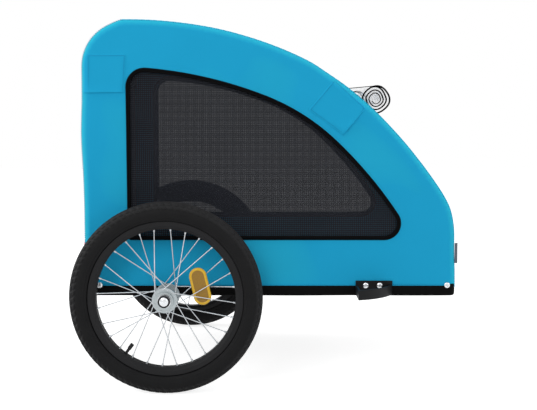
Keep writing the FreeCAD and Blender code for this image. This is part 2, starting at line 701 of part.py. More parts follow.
def front_mesh():
    """The net behind the front window, with its rows of gaps."""
    start = turn_at(ROOF_LENGTH + DOOR_GAP)
    half = ARCH_Y - TUBE_RADIUS - SEAT_GAP
    sheet = spread(front_face(COVER_WALL + SHEET_GAP, NET_THICKNESS, start), -half, half)
    sheet = sheet.common(front_window(NET_LAP))
    top = on_arc(SLOPE_CENTRE, SLOPE_RADIUS, turn_at(ROOF_LENGTH + FRONT_WINDOW_TOP))
    foot = V(FRONT_X, 0, COVER_BOTTOM + FRONT_WINDOW_FOOT)
    run = foot - top
    gap = FRONT_NET_PITCH - FRONT_NET_STRAND
    rows = int((run.Length - FRONT_WINDOW_CORNER) / FRONT_NET_PITCH)
    columns = int(2 * (STRIP_HALF - FRONT_WINDOW_SIDE - FRONT_NET_STRAND) / FRONT_NET_PITCH)
    turn = FreeCAD.Rotation(X_AXIS, run)
    gaps = []
    for row in range(rows):
        for column in range(columns):
            along = (row + 0.5) * FRONT_NET_PITCH + (run.Length - rows * FRONT_NET_PITCH) / 2
            across = (column + 0.5 - columns / 2) * FRONT_NET_PITCH
            hole = Part.makeBox(gap, gap, run.Length, V(along - gap / 2, across - gap / 2, -run.Length / 2))
            hole.Placement = FreeCAD.Placement(top, turn)
            gaps.append(hole)
    return solid_of(sheet.cut(Part.makeCompound(gaps)))


def skirt_band():
    """The dark band round the foot of the cover, turned in under itself, open for the axle beam."""
    wall_low = V(REAR_X + COVER_WALL + SEAT_GAP, -SKIRT_OUT, SKIRT_BOTTOM)
    wall_high = V(FRONT_X - COVER_WALL - SEAT_GAP, SKIRT_OUT, SKIRT_TOP)
    step = V(COVER_WALL, COVER_WALL, 0)
    hem = V(SKIRT_HEM, SKIRT_HEM, 0)
    over = V(0, 0, OVERRUN)
    band = box_between(wall_low, wall_high)
    band = band.cut(box_between(wall_low + step + V(0, 0, COVER_WALL), wall_high - step + over))
    band = band.cut(box_between(wall_low + hem - over, wall_high - hem + over))
    band = band.cut(beam_room())
    holes = cover_holes()
    arches = Part.makeCompound([arch_foot(-ARCH_Y), arch_foot(ARCH_Y)])
    return solid_of(band.cut(holes).cut(mirrored(holes)).cut(arches))


def arch_foot(side):
    """The room that the two feet of an arch take up inside the skirt."""
    bars = []
    for x in (ARCH_REAR_X, ARCH_FRONT_X):
        foot = V(x, side, RAIL_HEIGHT - ARCH_FOOT_DROP - SEAT_GAP)
        bars.append(cylinder(TUBE_RADIUS + SEAT_GAP, foot, V(x, side, SKIRT_TOP + OVERRUN)))
    return Part.makeCompound(bars)


def cover_tabs():
    """The four sewn tabs: upright ones at the rear, and slanted ones on the slope."""
    low = V(REAR_X + REAR_TAB_INSET, -TRIM_Y - TAB_THICKNESS, COVER_TOP - REAR_TAB_DROP)
    rear = box_between(low, low + V(REAR_TAB_LENGTH, TAB_THICKNESS, REAR_TAB_HEIGHT))
    turn = turn_at(ROOF_LENGTH - FRONT_CROSSBAR_BEHIND)
    middle = on_arc(SLOPE_CENTRE, SLOPE_RADIUS - FRONT_TAB_INSET, turn)
    corner = V(-FRONT_TAB_LENGTH / 2, 0, -FRONT_TAB_HEIGHT)
    front = Part.makeBox(FRONT_TAB_LENGTH, TAB_THICKNESS, FRONT_TAB_HEIGHT, corner)
    front.rotate(ORIGIN, Y_AXIS, math.degrees(turn))
    front.translate(V(middle.x, -TRIM_Y - TAB_THICKNESS, middle.z))
    bound = Part.Face([cover_wire(), shifted(window_face(), SHEET_GAP).OuterWire])
    limit = spread(bound, -PANEL_OUT - OVERRUN, -PANEL_IN)
    right = [solid_of(tab.common(limit)) for tab in (rear, front)]
    return Part.makeCompound(right + [mirrored(tab) for tab in right])


def spiral(step_in):
    """Half circles of the roll, each a half pitch smaller, this far inside the sheet's outside."""
    edges = []
    radius = ROLL_RADIUS
    centre = 0.0
    for half_turn in range(2 * ROLL_TURNS):
        side = 1 if half_turn % 2 == 0 else -1
        bend = radius - step_in
        start = V(0, 0, centre + side * bend)
        end = V(0, 0, centre - side * bend)
        edges.append(Part.Arc(start, V(side * bend, 0, centre), end).toShape())
        radius -= ROLL_PITCH / 2
        centre -= side * ROLL_PITCH / 2
    return edges


def rain_cover_roll():
    """The clear sheet rolled up on the front: a tail from its seam to the top, then half turns inwards."""
    high = V(-ROLL_AHEAD, 0, ROLL_RADIUS)
    low = high - Z_AXIS * ROLL_SHEET
    outside = [line(high, V(0, 0, high.z))] + spiral(0)
    inside = [line(low, V(0, 0, low.z))] + spiral(ROLL_SHEET)
    half = STRIP_HALF - ROLL_END_INSET
    roll = spread(strip_face(outside, inside), -half, half)
    turn = turn_at(ROOF_LENGTH + ROLL_AHEAD)
    lean = math.pi - 2 * math.atan2(ROLL_AHEAD, ROLL_RADIUS)
    roll.rotate(ORIGIN, Y_AXIS, math.degrees(turn - lean))
    roll.translate(on_arc(SLOPE_CENTRE, SLOPE_RADIUS + ROLL_RADIUS + SEAT_GAP, turn))
    return roll


# Side deflectors and screws

def fin_outline():
    """The deflector's fin seen from above: flat rear end, bowed outer face, straight root."""
    rear = REAR_X + DEFLECTOR_FORWARD
    front = rear + DEFLECTOR_LENGTH
    root = -TRIM_Y - DEFLECTOR_WALL
    tip = root - DEFLECTOR_REACH
    bow = V(rear + DEFLECTOR_LENGTH * FIN_BOW_SHARE, root - DEFLECTOR_REACH * FIN_BOW_SHARE, 0)
    return Part.Face(Part.Wire([
        line(V(rear, root, 0), V(rear, tip, 0)),
        Part.Arc(V(rear, tip, 0), bow, V(front, root, 0)).toShape(),
        line(V(front, root, 0), V(rear, root, 0)),
    ]))


def deflector():
    """Right side deflector: a plate with two bosses on the rail, and a fin open above and below."""
    rear = REAR_X + DEFLECTOR_FORWARD
    root = -TRIM_Y - DEFLECTOR_WALL
    outline = fin_outline()
    hollow = shifted(outline, -DEFLECTOR_WALL)
    limits = hollow.BoundBox
    fin = outline.extrude(Z_AXIS * DEFLECTOR_HEIGHT)
    room = hollow.extrude(Z_AXIS * DEFLECTOR_HEIGHT)
    behind = V(limits.XMin, root - 2 * DEFLECTOR_WALL, 0)
    room = room.fuse(box_between(behind, V(limits.XMax, root, DEFLECTOR_HEIGHT)))
    fin = fin.cut(room)
    fin.translate(Z_AXIS * DEFLECTOR_PLATE_BOTTOM)
    plate_high = V(rear + DEFLECTOR_LENGTH, -TRIM_Y, DEFLECTOR_PLATE_TOP)
    body = fin.fuse(box_between(V(rear, root, DEFLECTOR_PLATE_BOTTOM), plate_high))
    seat_y = -RAIL_Y - TUBE_RADIUS - SEAT_GAP
    for x in deflector_screws():
        start = V(x, -TRIM_Y, RAIL_HEIGHT)
        body = body.fuse(cylinder(DEFLECTOR_BOSS / 2, start, V(x, seat_y, RAIL_HEIGHT)))
    for x in deflector_screws():
        start = V(x, root - DEFLECTOR_WALL, RAIL_HEIGHT)
        body = body.cut(cylinder(SCREW_DIAMETER / 2 + WELD_GAP, start, V(x, -RAIL_Y, RAIL_HEIGHT)))
    return solid_of(body.removeSplitter())


def screw(x, head_y):
    """A pan head screw into the right base rail, its head seated at head_y."""
    crown = SCREW_HEAD_HEIGHT - SCREW_HEAD_CROWN
    end = -RAIL_Y - TUBE_RADIUS + SCREW_BITE - head_y
    head = SCREW_HEAD_DIAMETER / 2
    stem = SCREW_DIAMETER / 2
    outline = Part.Wire([
        line(V(0, end, 0), V(0, end, stem)),
        line(V(0, end, stem), V(0, 0, stem)),
        line(V(0, 0, stem), V(0, 0, head)),
        line(V(0, 0, head), V(0, -crown, head)),
        line(V(0, -crown, head), V(0, -SCREW_HEAD_HEIGHT, head - SCREW_HEAD_CROWN)),
        line(V(0, -SCREW_HEAD_HEIGHT, head - SCREW_HEAD_CROWN), V(0, -SCREW_HEAD_HEIGHT, 0)),
        line(V(0, -SCREW_HEAD_HEIGHT, 0), V(0, end, 0)),
    ])
    piece = Part.Face(outline).revolve(ORIGIN, Y_AXIS, 360)
    piece.translate(V(x, head_y, RAIL_HEIGHT))
    return piece


def frame_screws():
    """The eight screws: two arch feet and two deflector screws on each side."""
    right = [screw(x, -TRIM_Y) for x in (ARCH_REAR_X, ARCH_FRONT_X)]
    right += [screw(x, -TRIM_Y - DEFLECTOR_WALL) for x in deflector_screws()]
    return Part.makeCompound(right + [mirrored(piece) for piece in right])


# Rear door and small trim

def rear_door():
    """The rear door: upright below, then the rounded corner up to the roof seam."""
    top_turn = math.atan2(SEAM_X - DOOR_GAP - CORNER_CENTRE.x, CORNER_RISE)
    outside = []
    inside = []
    for edges, depth in ((outside, 0), (inside, COVER_WALL)):
        foot = V(REAR_X + depth, 0, COVER_BOTTOM + DOOR_RISE)
        edges.append(line(foot, V(REAR_X + depth, 0, CORNER_CENTRE.z)))
        edges.append(arc_edge(CORNER_CENTRE, DOOR_CORNER_RADIUS - depth, -math.pi / 2, top_turn))
    half = PANEL_IN - DOOR_GAP
    return spread(strip_face(outside, inside), -half, half)


def rear_reflectors():
    """Two round reflectors low on the rear door."""
    lens = REFLECTOR_DIAMETER / 2
    outer = REAR_X - SHEET_GAP
    pair = []
    for side in (-REFLECTOR_SIDE, REFLECTOR_SIDE):
        seat = V(outer, side, COVER_BOTTOM + REFLECTOR_RISE)
        body = cylinder(lens, seat, seat - X_AXIS * REFLECTOR_THICKNESS)
        rim = [e for e in body.Edges if e.Length > 2 * lens and e.BoundBox.XMax < outer - REFLECTOR_RIM]
        pair.append(solid_of(body.makeFillet(REFLECTOR_RIM, rim)))
    return Part.makeCompound(pair)


def zip_slider():
    """A zip slider at the rear edge of the right side panel, with its hanging pull."""
    low = V(REAR_X + SLIDER_INSET, -TRIM_Y - SLIDER_THICKNESS, COVER_BOTTOM + SLIDER_RISE)
    body = box_between(low, low + V(SLIDER_WIDTH, SLIDER_THICKNESS, SLIDER_LENGTH))
    pull_low = low + V((SLIDER_WIDTH - PULL_WIDTH) / 2, -PULL_THICKNESS, SLIDER_LENGTH / 2 - PULL_LENGTH)
    return solid_of(body.fuse(box_between(pull_low, pull_low + V(PULL_WIDTH, PULL_THICKNESS, PULL_LENGTH))))


def seam_tag():
    """The bare tag sewn into the right front seam."""
    low = V(FRONT_X, -PANEL_OUT + SHEET_GAP, COVER_BOTTOM + TAG_RISE)
    return box_between(low, low + V(TAG_REACH, TAG_THICKNESS, TAG_HEIGHT))


# Wheels, modelled about the origin with the outer side at -Y

def tyre():
    """The tyre: a round wall with two beads that sit inside the rim flanges."""
    middle = TYRE_RADIUS - TYRE_WIDTH / 2
    outer = TYRE_WIDTH / 2
    inner = outer - TYRE_WALL
    seat = RIM_SEAT_DIAMETER / 2 + SEAT_GAP
    flange = RIM_FLANGE_DIAMETER / 2 + SEAT_GAP
    bead_out = RIM_WIDTH / 2 - RIM_WALL - SEAT_GAP
    bead_in = bead_out - BEAD_THICKNESS
    shoulder = math.sqrt(outer ** 2 - (middle - flange) ** 2)
    throat = middle - math.sqrt(inner ** 2 - bead_in ** 2)
    outline = Part.Wire([
        line(V(0, bead_in, seat), V(0, bead_out, seat)),
        line(V(0, bead_out, seat), V(0, bead_out, flange)),
        line(V(0, bead_out, flange), V(0, shoulder, flange)),
        Part.Arc(V(0, shoulder, flange), V(0, 0, middle + outer), V(0, -shoulder, flange)).toShape(),
        line(V(0, -shoulder, flange), V(0, -bead_out, flange)),
        line(V(0, -bead_out, flange), V(0, -bead_out, seat)),
        line(V(0, -bead_out, seat), V(0, -bead_in, seat)),
        line(V(0, -bead_in, seat), V(0, -bead_in, throat)),
        Part.Arc(V(0, -bead_in, throat), V(0, 0, middle + inner), V(0, bead_in, throat)).toShape(),
        line(V(0, bead_in, throat), V(0, bead_in, seat)),
    ])
    return Part.Face(outline).revolve(ORIGIN, Y_AXIS, 360)


def inner_tube():
    """The inflated tube inside the tyre."""
    middle = TYRE_RADIUS - TYRE_WIDTH / 2
    outer = TYRE_WIDTH / 2 - TYRE_WALL - SEAT_GAP
    skin = Part.makeTorus(middle, outer, ORIGIN, Y_AXIS)
    return skin.cut(Part.makeTorus(middle, outer - TUBE_WALL, ORIGIN, Y_AXIS))


def polar(radius, angle, across):
    """A point of the wheel, by its radius, its angle from forward and its place across."""
    turn = math.radians(angle)
    return V(radius * math.cos(turn), across, radius * math.sin(turn))


def spoke_lines():
    """Each spoke's bend at the hub, its end in the rim and the flange side that it pulls from."""
    step = 360 / SPOKE_COUNT
    per_flange = 2 * step
    flange = HUB_FLANGE_SPACING / 2
    off = HUB_FLANGE_THICKNESS / 2 + SPOKE_DIAMETER / 2 + WELD_GAP
    lines = []
    for index in range(SPOKE_COUNT):
        side = -1 if index % 2 == 0 else 1
        leading = 1 if (index // 2) % 2 == 0 else -1
        rim_angle = SPOKE_PHASE + index * step
        hub_angle = rim_angle + leading * SPOKE_CROSSES * per_flange
        bend = polar(SPOKE_CIRCLE_DIAMETER / 2, hub_angle, side * (flange + leading * off))
        end = polar(RIM_INNER_DIAMETER / 2 + NIPPLE_SINK / 2, rim_angle, side * SPOKE_RIM_OFFSET)
        lines.append((bend, end, side * leading * off))
    return lines


def spoke_bars(grow):
    """Every spoke as a straight bar and an elbow through its flange, this much thicker."""
    radius = SPOKE_DIAMETER / 2 + grow
    bars = []
    for bend, end, off in spoke_lines():
        head = bend - V(0, 2 * off, 0)
        knee = Part.makeSphere(radius, bend)
        bars.append((cylinder(radius, bend, end), cylinder(radius, bend, head), knee))
    return bars


def spokes():
    """The spokes, each with its elbow."""
    return Part.makeCompound([solid_of(bar.fuse(elbow).fuse(knee)) for bar, elbow, knee in spoke_bars(0)])


def nipple_bars(radius, start_back, end_past):
    """A bar on the rim end of each spoke, from inside the rim's circle to just past the end."""
    bars = []
    for bend, end, off in spoke_lines():
        way = end - bend
        way.normalize()
        bars.append(cylinder(radius, end - way * start_back, end + way * end_past))
    return bars


def nipples():
    """The spoke nipples, bored for the spokes."""
    bodies = nipple_bars(NIPPLE_DIAMETER / 2, NIPPLE_LENGTH - NIPPLE_SINK, NIPPLE_SINK / 2)
    bores = nipple_bars(SPOKE_DIAMETER / 2 + WELD_GAP, NIPPLE_LENGTH, WELD_GAP)
    return Part.makeCompound([solid_of(body.cut(bore)) for body, bore in zip(bodies, bores)])


def valve_bar(radius, low, high):
    """A bar along the valve, between two radii of the wheel."""
    return cylinder(radius, polar(low, VALVE_ANGLE, 0), polar(high, VALVE_ANGLE, 0))


def rim():
    """The rim: a channel for the tyre on a tapered spoke bed, drilled for nipples and valve."""
    half = RIM_WIDTH / 2
    lip = half - RIM_WALL
    bed = RIM_BED_WIDTH / 2
    top = RIM_FLANGE_DIAMETER / 2
    seat = RIM_SEAT_DIAMETER / 2
    low = RIM_INNER_DIAMETER / 2
    side = top - RIM_SIDE_HEIGHT
    ring = turned([
        (half, top), (half, side), (bed, low), (-bed, low), (-half, side),
        (-half, top), (-lip, top), (-lip, seat), (lip, seat), (lip, top),
    ])
    drills = nipple_bars(NIPPLE_DIAMETER / 2 + WELD_GAP, NIPPLE_LENGTH, NIPPLE_SINK / 2 + WELD_GAP)
    drills.append(valve_bar(VALVE_STEM_DIAMETER / 2 + HOLE_GAP, low - OVERRUN, top))
    return solid_of(ring.cut(Part.makeCompound(drills)))


def valve():
    """The valve stem from the tube through the rim, with its cap."""
    root = TYRE_RADIUS - TYRE_WIDTH + TYRE_WALL
    tip = root - VALVE_REACH
    stem = valve_bar(VALVE_STEM_DIAMETER / 2, tip, root)
    return solid_of(stem.fuse(valve_bar(VALVE_CAP_DIAMETER / 2, tip, tip + VALVE_CAP_LENGTH)))


def spoke_reflector():
    """The reflector clipped among the outer spokes, grooved where they cross it."""
    length, height = WHEEL_REFLECTOR_LENGTH, WHEEL_REFLECTOR_HEIGHT
    thickness = WHEEL_REFLECTOR_THICKNESS
    body = Part.makeBox(length, thickness, height, V(-length / 2, -thickness, -height / 2))
    corners = [e for e in body.Edges if abs(e.Vertexes[0].Point.y - e.Vertexes[-1].Point.y) > thickness / 2]
    body = body.makeFillet(WHEEL_REFLECTOR_CORNER, corners)
    body.rotate(ORIGIN, Y_AXIS, -WHEEL_REFLECTOR_TURN)
    body.translate(polar(WHEEL_REFLECTOR_RADIUS, WHEEL_REFLECTOR_ANGLE, -WHEEL_REFLECTOR_DEPTH))
    grooves = [bar for bar, elbow, knee in spoke_bars(WELD_GAP)]
    return solid_of(body.cut(Part.makeCompound(grooves)))


def hub_shell():
    """The hub: a barrel, two flanges drilled for the spokes, and a bearing seat in each end."""
    end = HUB_LENGTH / 2
    seat = end - BEARING_WIDTH
    flange_out = (HUB_FLANGE_SPACING + HUB_FLANGE_THICKNESS) / 2
    flange_in = (HUB_FLANGE_SPACING - HUB_FLANGE_THICKNESS) / 2
    boss, flange, barrel = HUB_END_DIAMETER / 2, HUB_FLANGE_DIAMETER / 2, HUB_BARREL_DIAMETER / 2
    race = BEARING_DIAMETER / 2 + WELD_GAP
    bore = HUB_BORE_DIAMETER / 2
    half = [(end, boss), (flange_out, boss), (flange_out, flange), (flange_in, flange), (flange_in, barrel)]
    inside = [(seat, bore), (seat, race), (end, race)]
    outline = half + [(-y, r) for y, r in reversed(half)]
    outline += [(-y, r) for y, r in reversed(inside)] + inside
    drills = [piece for group in spoke_bars(WELD_GAP) for piece in group]
    return solid_of(turned(outline).cut(Part.makeCompound(drills)))


def hub_bearings():
    """Two ball bearings as plain rings, one in each end of the hub."""
    outer, inner = BEARING_DIAMETER / 2, AXLE_DIAMETER / 2 + RUNNING_GAP
    end = HUB_LENGTH / 2
    ring = tube(outer, inner, V(0, end - BEARING_WIDTH, 0), V(0, end, 0))
    return Part.makeCompound([ring, mirrored(ring)])


# Quick-release axle, in the wheel's own frame

COLLAR_IN = -HUB_HALF - SEAT_GAP
COLLAR_OUT = COLLAR_IN - COLLAR_LENGTH
WELL_FLOOR = COLLAR_OUT + BUTTON_WELL
AXLE_TIP = WHEEL_Y - BEAM_HALF + AXLE_IN_BEAM
BALL_Y = AXLE_TIP - BALL_FROM_TIP
BUTTON_SEAT = WELL_FLOOR - BUTTON_TRAVEL - BUTTON_STOP


def axle_pin():
    """The pin with its collar, button well, long bore and the cross hole for the lock balls."""
    pin = cylinder(AXLE_DIAMETER / 2, V(0, COLLAR_IN, 0), V(0, AXLE_TIP, 0))
    pin = pin.fuse(cylinder(COLLAR_DIAMETER / 2, V(0, COLLAR_OUT, 0), V(0, COLLAR_IN, 0)))
    pin = pin.cut(cylinder(BUTTON_DIAMETER / 2 + RUNNING_GAP, V(0, COLLAR_OUT, 0), V(0, WELL_FLOOR, 0)))
    pin = pin.cut(cylinder(AXLE_BORE_DIAMETER / 2, V(0, COLLAR_OUT, 0), V(0, BALL_Y, 0)))
    across = Z_AXIS * AXLE_DIAMETER
    place = V(0, BALL_Y, 0)
    return solid_of(pin.cut(cylinder(BALL_DIAMETER / 2 + WELD_GAP, place - across, place + across)))


def lock_balls():
    """The two balls in the cross hole, drawn in flush with the pin."""
    rise = AXLE_DIAMETER / 2 - BALL_DIAMETER / 2 - BALL_SINK
    places = [V(0, BALL_Y, rise), V(0, BALL_Y, -rise)]
    return Part.makeCompound([Part.makeSphere(BALL_DIAMETER / 2, place) for place in places])


def release_button():
    """The domed button and the rod that it pushes along the pin."""
    radius = BUTTON_DIAMETER / 2
    rim_y = BUTTON_SEAT - BUTTON_RIM
    rod_tip = BALL_Y - BALL_DIAMETER / 2 - BUTTON_TRAVEL - BUTTON_ROD_STOP
    rod = BUTTON_ROD_DIAMETER / 2
    sphere = (radius ** 2 + BUTTON_DOME ** 2) / (2 * BUTTON_DOME)
    half_turn = math.asin(radius / sphere) / 2
    crown = V(0, rim_y - BUTTON_DOME + sphere * (1 - math.cos(half_turn)), sphere * math.sin(half_turn))
    outline = Part.Wire([
        line(V(0, rod_tip, 0), V(0, rod_tip, rod)),
        line(V(0, rod_tip, rod), V(0, BUTTON_SEAT, rod)),
        line(V(0, BUTTON_SEAT, rod), V(0, BUTTON_SEAT, radius)),
        line(V(0, BUTTON_SEAT, radius), V(0, rim_y, radius)),
        Part.Arc(V(0, rim_y, radius), crown, V(0, rim_y - BUTTON_DOME, 0)).toShape(),
        line(V(0, rim_y - BUTTON_DOME, 0), V(0, rod_tip, 0)),
    ])
    return Part.Face(outline).revolve(ORIGIN, Y_AXIS, 360)


def at_wheel(shape):
    """A wheel piece moved to the right wheel's place."""
    moved = shape.copy()
    moved.translate(V(AXLE_X, -WHEEL_Y, AXLE_Z))
    return moved


os.makedirs("parts", exist_ok=True)

save_pair("base_rail", base_rail())
save("front_cross_tube", cross_tube(RAIL_FRONT_X - TUBE_RADIUS))
save("rear_cross_tube", cross_tube(ARCH_REAR_X))
save("axle_beam", axle_beam())
save("floor_panel", floor_panel())
save_pair("side_arch", side_arch())
for bar_name, (bar_place, bar_way) in zip(("rear_crossbar", "front_crossbar"), crossbar_places()):
    save(bar_name, crossbar(bar_place))
save("crossbar_clips", crossbar_clips())
save("drawbar_socket", drawbar_socket())
save("skirt_band", skirt_band())
save_pair("side_panel", side_panel())
save_pair("window_border", window_border())
save_pair("window_mesh", window_mesh())
save_pair("window_binding", window_binding())
save("roof_panel", roof_panel())
save("front_panel", front_panel())
save("front_mesh", front_mesh())
save("cover_tabs", cover_tabs())
save("rain_cover_roll", rain_cover_roll())
save_pair("side_deflector", deflector())
save("frame_screws", frame_screws())
save("rear_door", rear_door())
save("rear_reflectors", rear_reflectors())
save_pair("zip_slider", zip_slider())
save("seam_tag", seam_tag())
for piece in (tyre, inner_tube, rim, spokes, nipples, valve, spoke_reflector, hub_shell, hub_bearings,
              axle_pin, lock_balls, release_button):
    save_pair(piece.__name__, at_wheel(piece()))
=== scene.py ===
"""Dresses the dog trailer: sewn cover, nets, clear roll, tyres, lenses, stitches, finishes, light, camera."""
import math

import bpy
import numpy as np
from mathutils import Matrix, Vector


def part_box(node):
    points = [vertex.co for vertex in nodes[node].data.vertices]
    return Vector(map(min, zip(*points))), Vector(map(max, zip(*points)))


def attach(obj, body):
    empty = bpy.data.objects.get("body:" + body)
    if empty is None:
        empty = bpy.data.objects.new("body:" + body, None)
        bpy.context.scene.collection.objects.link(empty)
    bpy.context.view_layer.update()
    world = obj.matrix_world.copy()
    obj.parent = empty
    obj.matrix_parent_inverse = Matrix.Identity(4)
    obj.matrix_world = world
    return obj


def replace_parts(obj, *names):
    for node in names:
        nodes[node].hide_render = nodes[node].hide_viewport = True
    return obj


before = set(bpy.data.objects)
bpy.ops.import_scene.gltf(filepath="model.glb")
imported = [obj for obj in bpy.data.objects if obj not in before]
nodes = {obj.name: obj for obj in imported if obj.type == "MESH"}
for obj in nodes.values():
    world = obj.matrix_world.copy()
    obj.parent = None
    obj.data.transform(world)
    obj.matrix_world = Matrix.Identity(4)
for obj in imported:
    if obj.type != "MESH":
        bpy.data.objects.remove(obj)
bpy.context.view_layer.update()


# Points and lines

def heading(turn):
    """The way (x, z) that a turn points, measured forward from straight up."""
    return np.stack([np.sin(turn), np.cos(turn)], axis=-1)


def unit(ways):
    """The same ways, each of length one."""
    return ways / np.linalg.norm(ways, axis=-1, keepdims=True)


def fade(distance, over):
    """Grows evenly from 0 at no distance to 1 at this one."""
    return np.clip(distance / over, 0, 1)


def pairs(first, second, order="xy"):
    """Each pair of two lists, on a grid. The first runs along the rows, or with order ij down the columns."""
    return np.stack(np.meshgrid(first, second, indexing=order), axis=-1)


def placed(flat, y):
    """Points in space from side-view points (x, z) and how far left they are."""
    return np.stack(np.broadcast_arrays(flat[..., 0], y, flat[..., 1]), axis=-1)


def lengths(points):
    """Distance along a line of points, from its first one."""
    steps = np.linalg.norm(np.diff(points, axis=0), axis=1)
    return np.concatenate([[0.0], np.cumsum(steps)])


def line_normals(line):
    """The side-view ways square to a line, to its left: its slope turned by a right angle."""
    way = np.gradient(line, lengths(line), axis=0)
    return unit(np.stack([-way[:, 1], way[:, 0]], axis=-1))


def closed_line(loop):
    """A loop with its first point again at its end."""
    return np.concatenate([loop, loop[:1]])


def closed_rows(grid):
    """A grid with its first column again at its end."""
    return np.concatenate([grid, grid[:, :1]], axis=1)


def rings_between(outer, inner, shares):
    """Rings that blend from one line to another in straight lines, one for each share of the way."""
    return outer[None] + (inner - outer)[None] * shares[:, None, None]


def read_at(places, run, field):
    """The rows of a field along a line, read at other distances along it."""
    return np.stack([np.interp(places, run, field[:, k]) for k in range(field.shape[1])], axis=-1)


def spaced(points, count, closed=False):
    """The same line with its points evenly spaced."""
    line = closed_line(points) if closed else points
    run = lengths(line)
    return read_at(np.linspace(0, run[-1], count, endpoint=not closed), run, line)


def arc(centre, radius, start, end, count):
    """Points of a circle between two turns, each measured forward from straight up."""
    return np.asarray(centre) + radius * heading(np.linspace(start, end, count))


def turn_of(point, centre):
    """The turn of a point about a centre, measured forward from straight up."""
    return math.atan2(point[0] - centre[0], point[1] - centre[1])


def round_rectangle(middle, half, corner, count):
    """A closed rectangle with round corners: four quarter circles, evenly spaced points."""
    parts = []
    for sign_u, sign_v, start in ((1, 1, 0), (-1, 1, 90), (-1, -1, 180), (1, -1, 270)):
        turn = np.radians(np.linspace(start, start + 90, 24))
        centre = np.array(middle) + np.array([sign_u, sign_v]) * (np.array(half) - corner)
        parts.append(centre + corner * np.stack([np.cos(turn), np.sin(turn)], axis=-1))
    return spaced(np.concatenate(parts), count, closed=True)


# Sizes of the trailer in metres, in the part's frame: +X forward, +Y left, +Z up, ground at 0
AXLE_X = -0.206055
REAR_X = -0.386055
FRONT_X = 0.399055
TOP_Z = 0.775
FOOT_Z = 0.210
SIDE_Y = 0.2552
WHEEL_Y, WHEEL_Z = 0.320, 0.200
INSIDE = np.array([0.0, 0.0, 0.45])
SIDES = ((-1, "right"), (1, "left"))

# The cover's outline: the rear corner's arc up to the roof seam, then the arcs of roof, slope and nose
SEAM_IN = 0.085
SEAM = np.array([REAR_X + SEAM_IN, TOP_Z])
CORNER_R = 0.100
CORNER = np.array([REAR_X + CORNER_R, TOP_Z - math.sqrt(CORNER_R ** 2 - (CORNER_R - SEAM_IN) ** 2)])
ROOF_R, SLOPE_R, NOSE_R = 1.000, 0.715, 0.165
ROOF_END, SLOPE_END = math.radians(10), math.radians(62)
ROOF = SEAM - np.array([0, ROOF_R])
SLOPE = ROOF + heading(ROOF_END) * (ROOF_R - SLOPE_R)
NOSE = SLOPE + heading(SLOPE_END) * (SLOPE_R - NOSE_R)
ROOF_LENGTH = 0.520
SPLIT_TURN = ROOF_END + (ROOF_LENGTH - ROOF_R * ROOF_END) / SLOPE_R
FOOT_POINTS = 218

# Where the side cloth rounds over the frame tube to the next cloth: how far in, how far out, its seam
EDGE_IN, EDGE_OUT = 0.016, 0.012
EDGE_SEAM = math.radians(30)
STRIP_FLAT = SIDE_Y - EDGE_OUT
STRIP_HALF = STRIP_FLAT + 0.0066
CLOTH_WALL = 0.0012

# A side window's three top arcs, where they meet, its round corners and the middle its rings are drawn to
WINDOW_R = (0.8908, 0.4586, 0.9037)
WINDOW_BENDS = (math.radians(21.3), math.radians(43.26))
WINDOW_CORNERS = (0.008, 0.040, 0.0356)
HUB_OF_WINDOW = np.array([AXLE_X + 0.150, 0.440])

# The front window: its head's distance down the front, its foot's height, half its width, and its net's lap
FRONT_HEAD, FRONT_FOOT_Z, FRONT_HALF, NET_LAP = 0.072, 0.305, 0.1908, 0.008

# Corners of the rear tab, from the lower rear one, and of its sewn part, clear of the zip slider's run
REAR_TAB = np.array([REAR_X, 0.0]) + [(0.0018, 0.621), (0.0905, 0.622), (0.0955, 0.703), (0.0056, 0.703)]
REAR_TAB_SEWN = REAR_TAB + [(0.0100, 0.0), (0.0, 0.0), (0.0, 0.0), (0.0062, 0.0)]

# How far the stretched cloth bulges past the frame's line: millimetres along it, then millimetres out
DOOR_BULGE = (
    (0, -0.4), (130, -0.4), (170, -0.8), (228, 0.0), (267, 1.4), (292, 2.6), (329, 3.4), (366, 1.9), (393, 0.5),
    (443, 0.0), (493, -0.3), (520, -1.0), (555, -2.3), (578, -3.4), (596, -2.0), (613, 0.0))
ROOF_BULGE = (
    (0, 0.0), (60, 0.8), (150, 1.2), (260, 1.4), (320, 2.4), (375, 3.9), (415, 4.8), (438, 3.2), (460, 2.6),
    (490, 2.6), (530, 1.6), (589, 0.6), (630, -0.1), (670, 0.2), (710, 0.7), (745, 2.2), (775, 3.8), (800, 5.3),
    (820, 6.0), (845, 5.6), (860, 4.3), (885, 3.1), (908, 2.7), (940, 3.4), (973, 5.0), (1010, 5.6))

# The clear roll's middle, half its length, where its tapes lie, and its radius in millimetres after so many
# turns: each lies slack, and steps in where it passes under the last. The tapes' thickness goes by turns too.
ROLL = np.array([0.2334, 0.6090])
ROLL_HALF, ROLL_TAPE_Y = 0.2290, 0.2270
ROLL_WIND = (
    (0.0, 28.4), (0.95, 27.8), (1.2, 21.2), (1.95, 20.4), (2.2, 15.0), (2.95, 14.2), (3.2, 9.6), (3.7, 9.0))
ROLL_TAPE = ((-0.2, 0.8), (-0.1, 0.8), (0.05, 1.8), (1.0, 1.7), (2.0, 1.4), (3.0, 1.1), (3.7, 0.8))


# Arrays to meshes

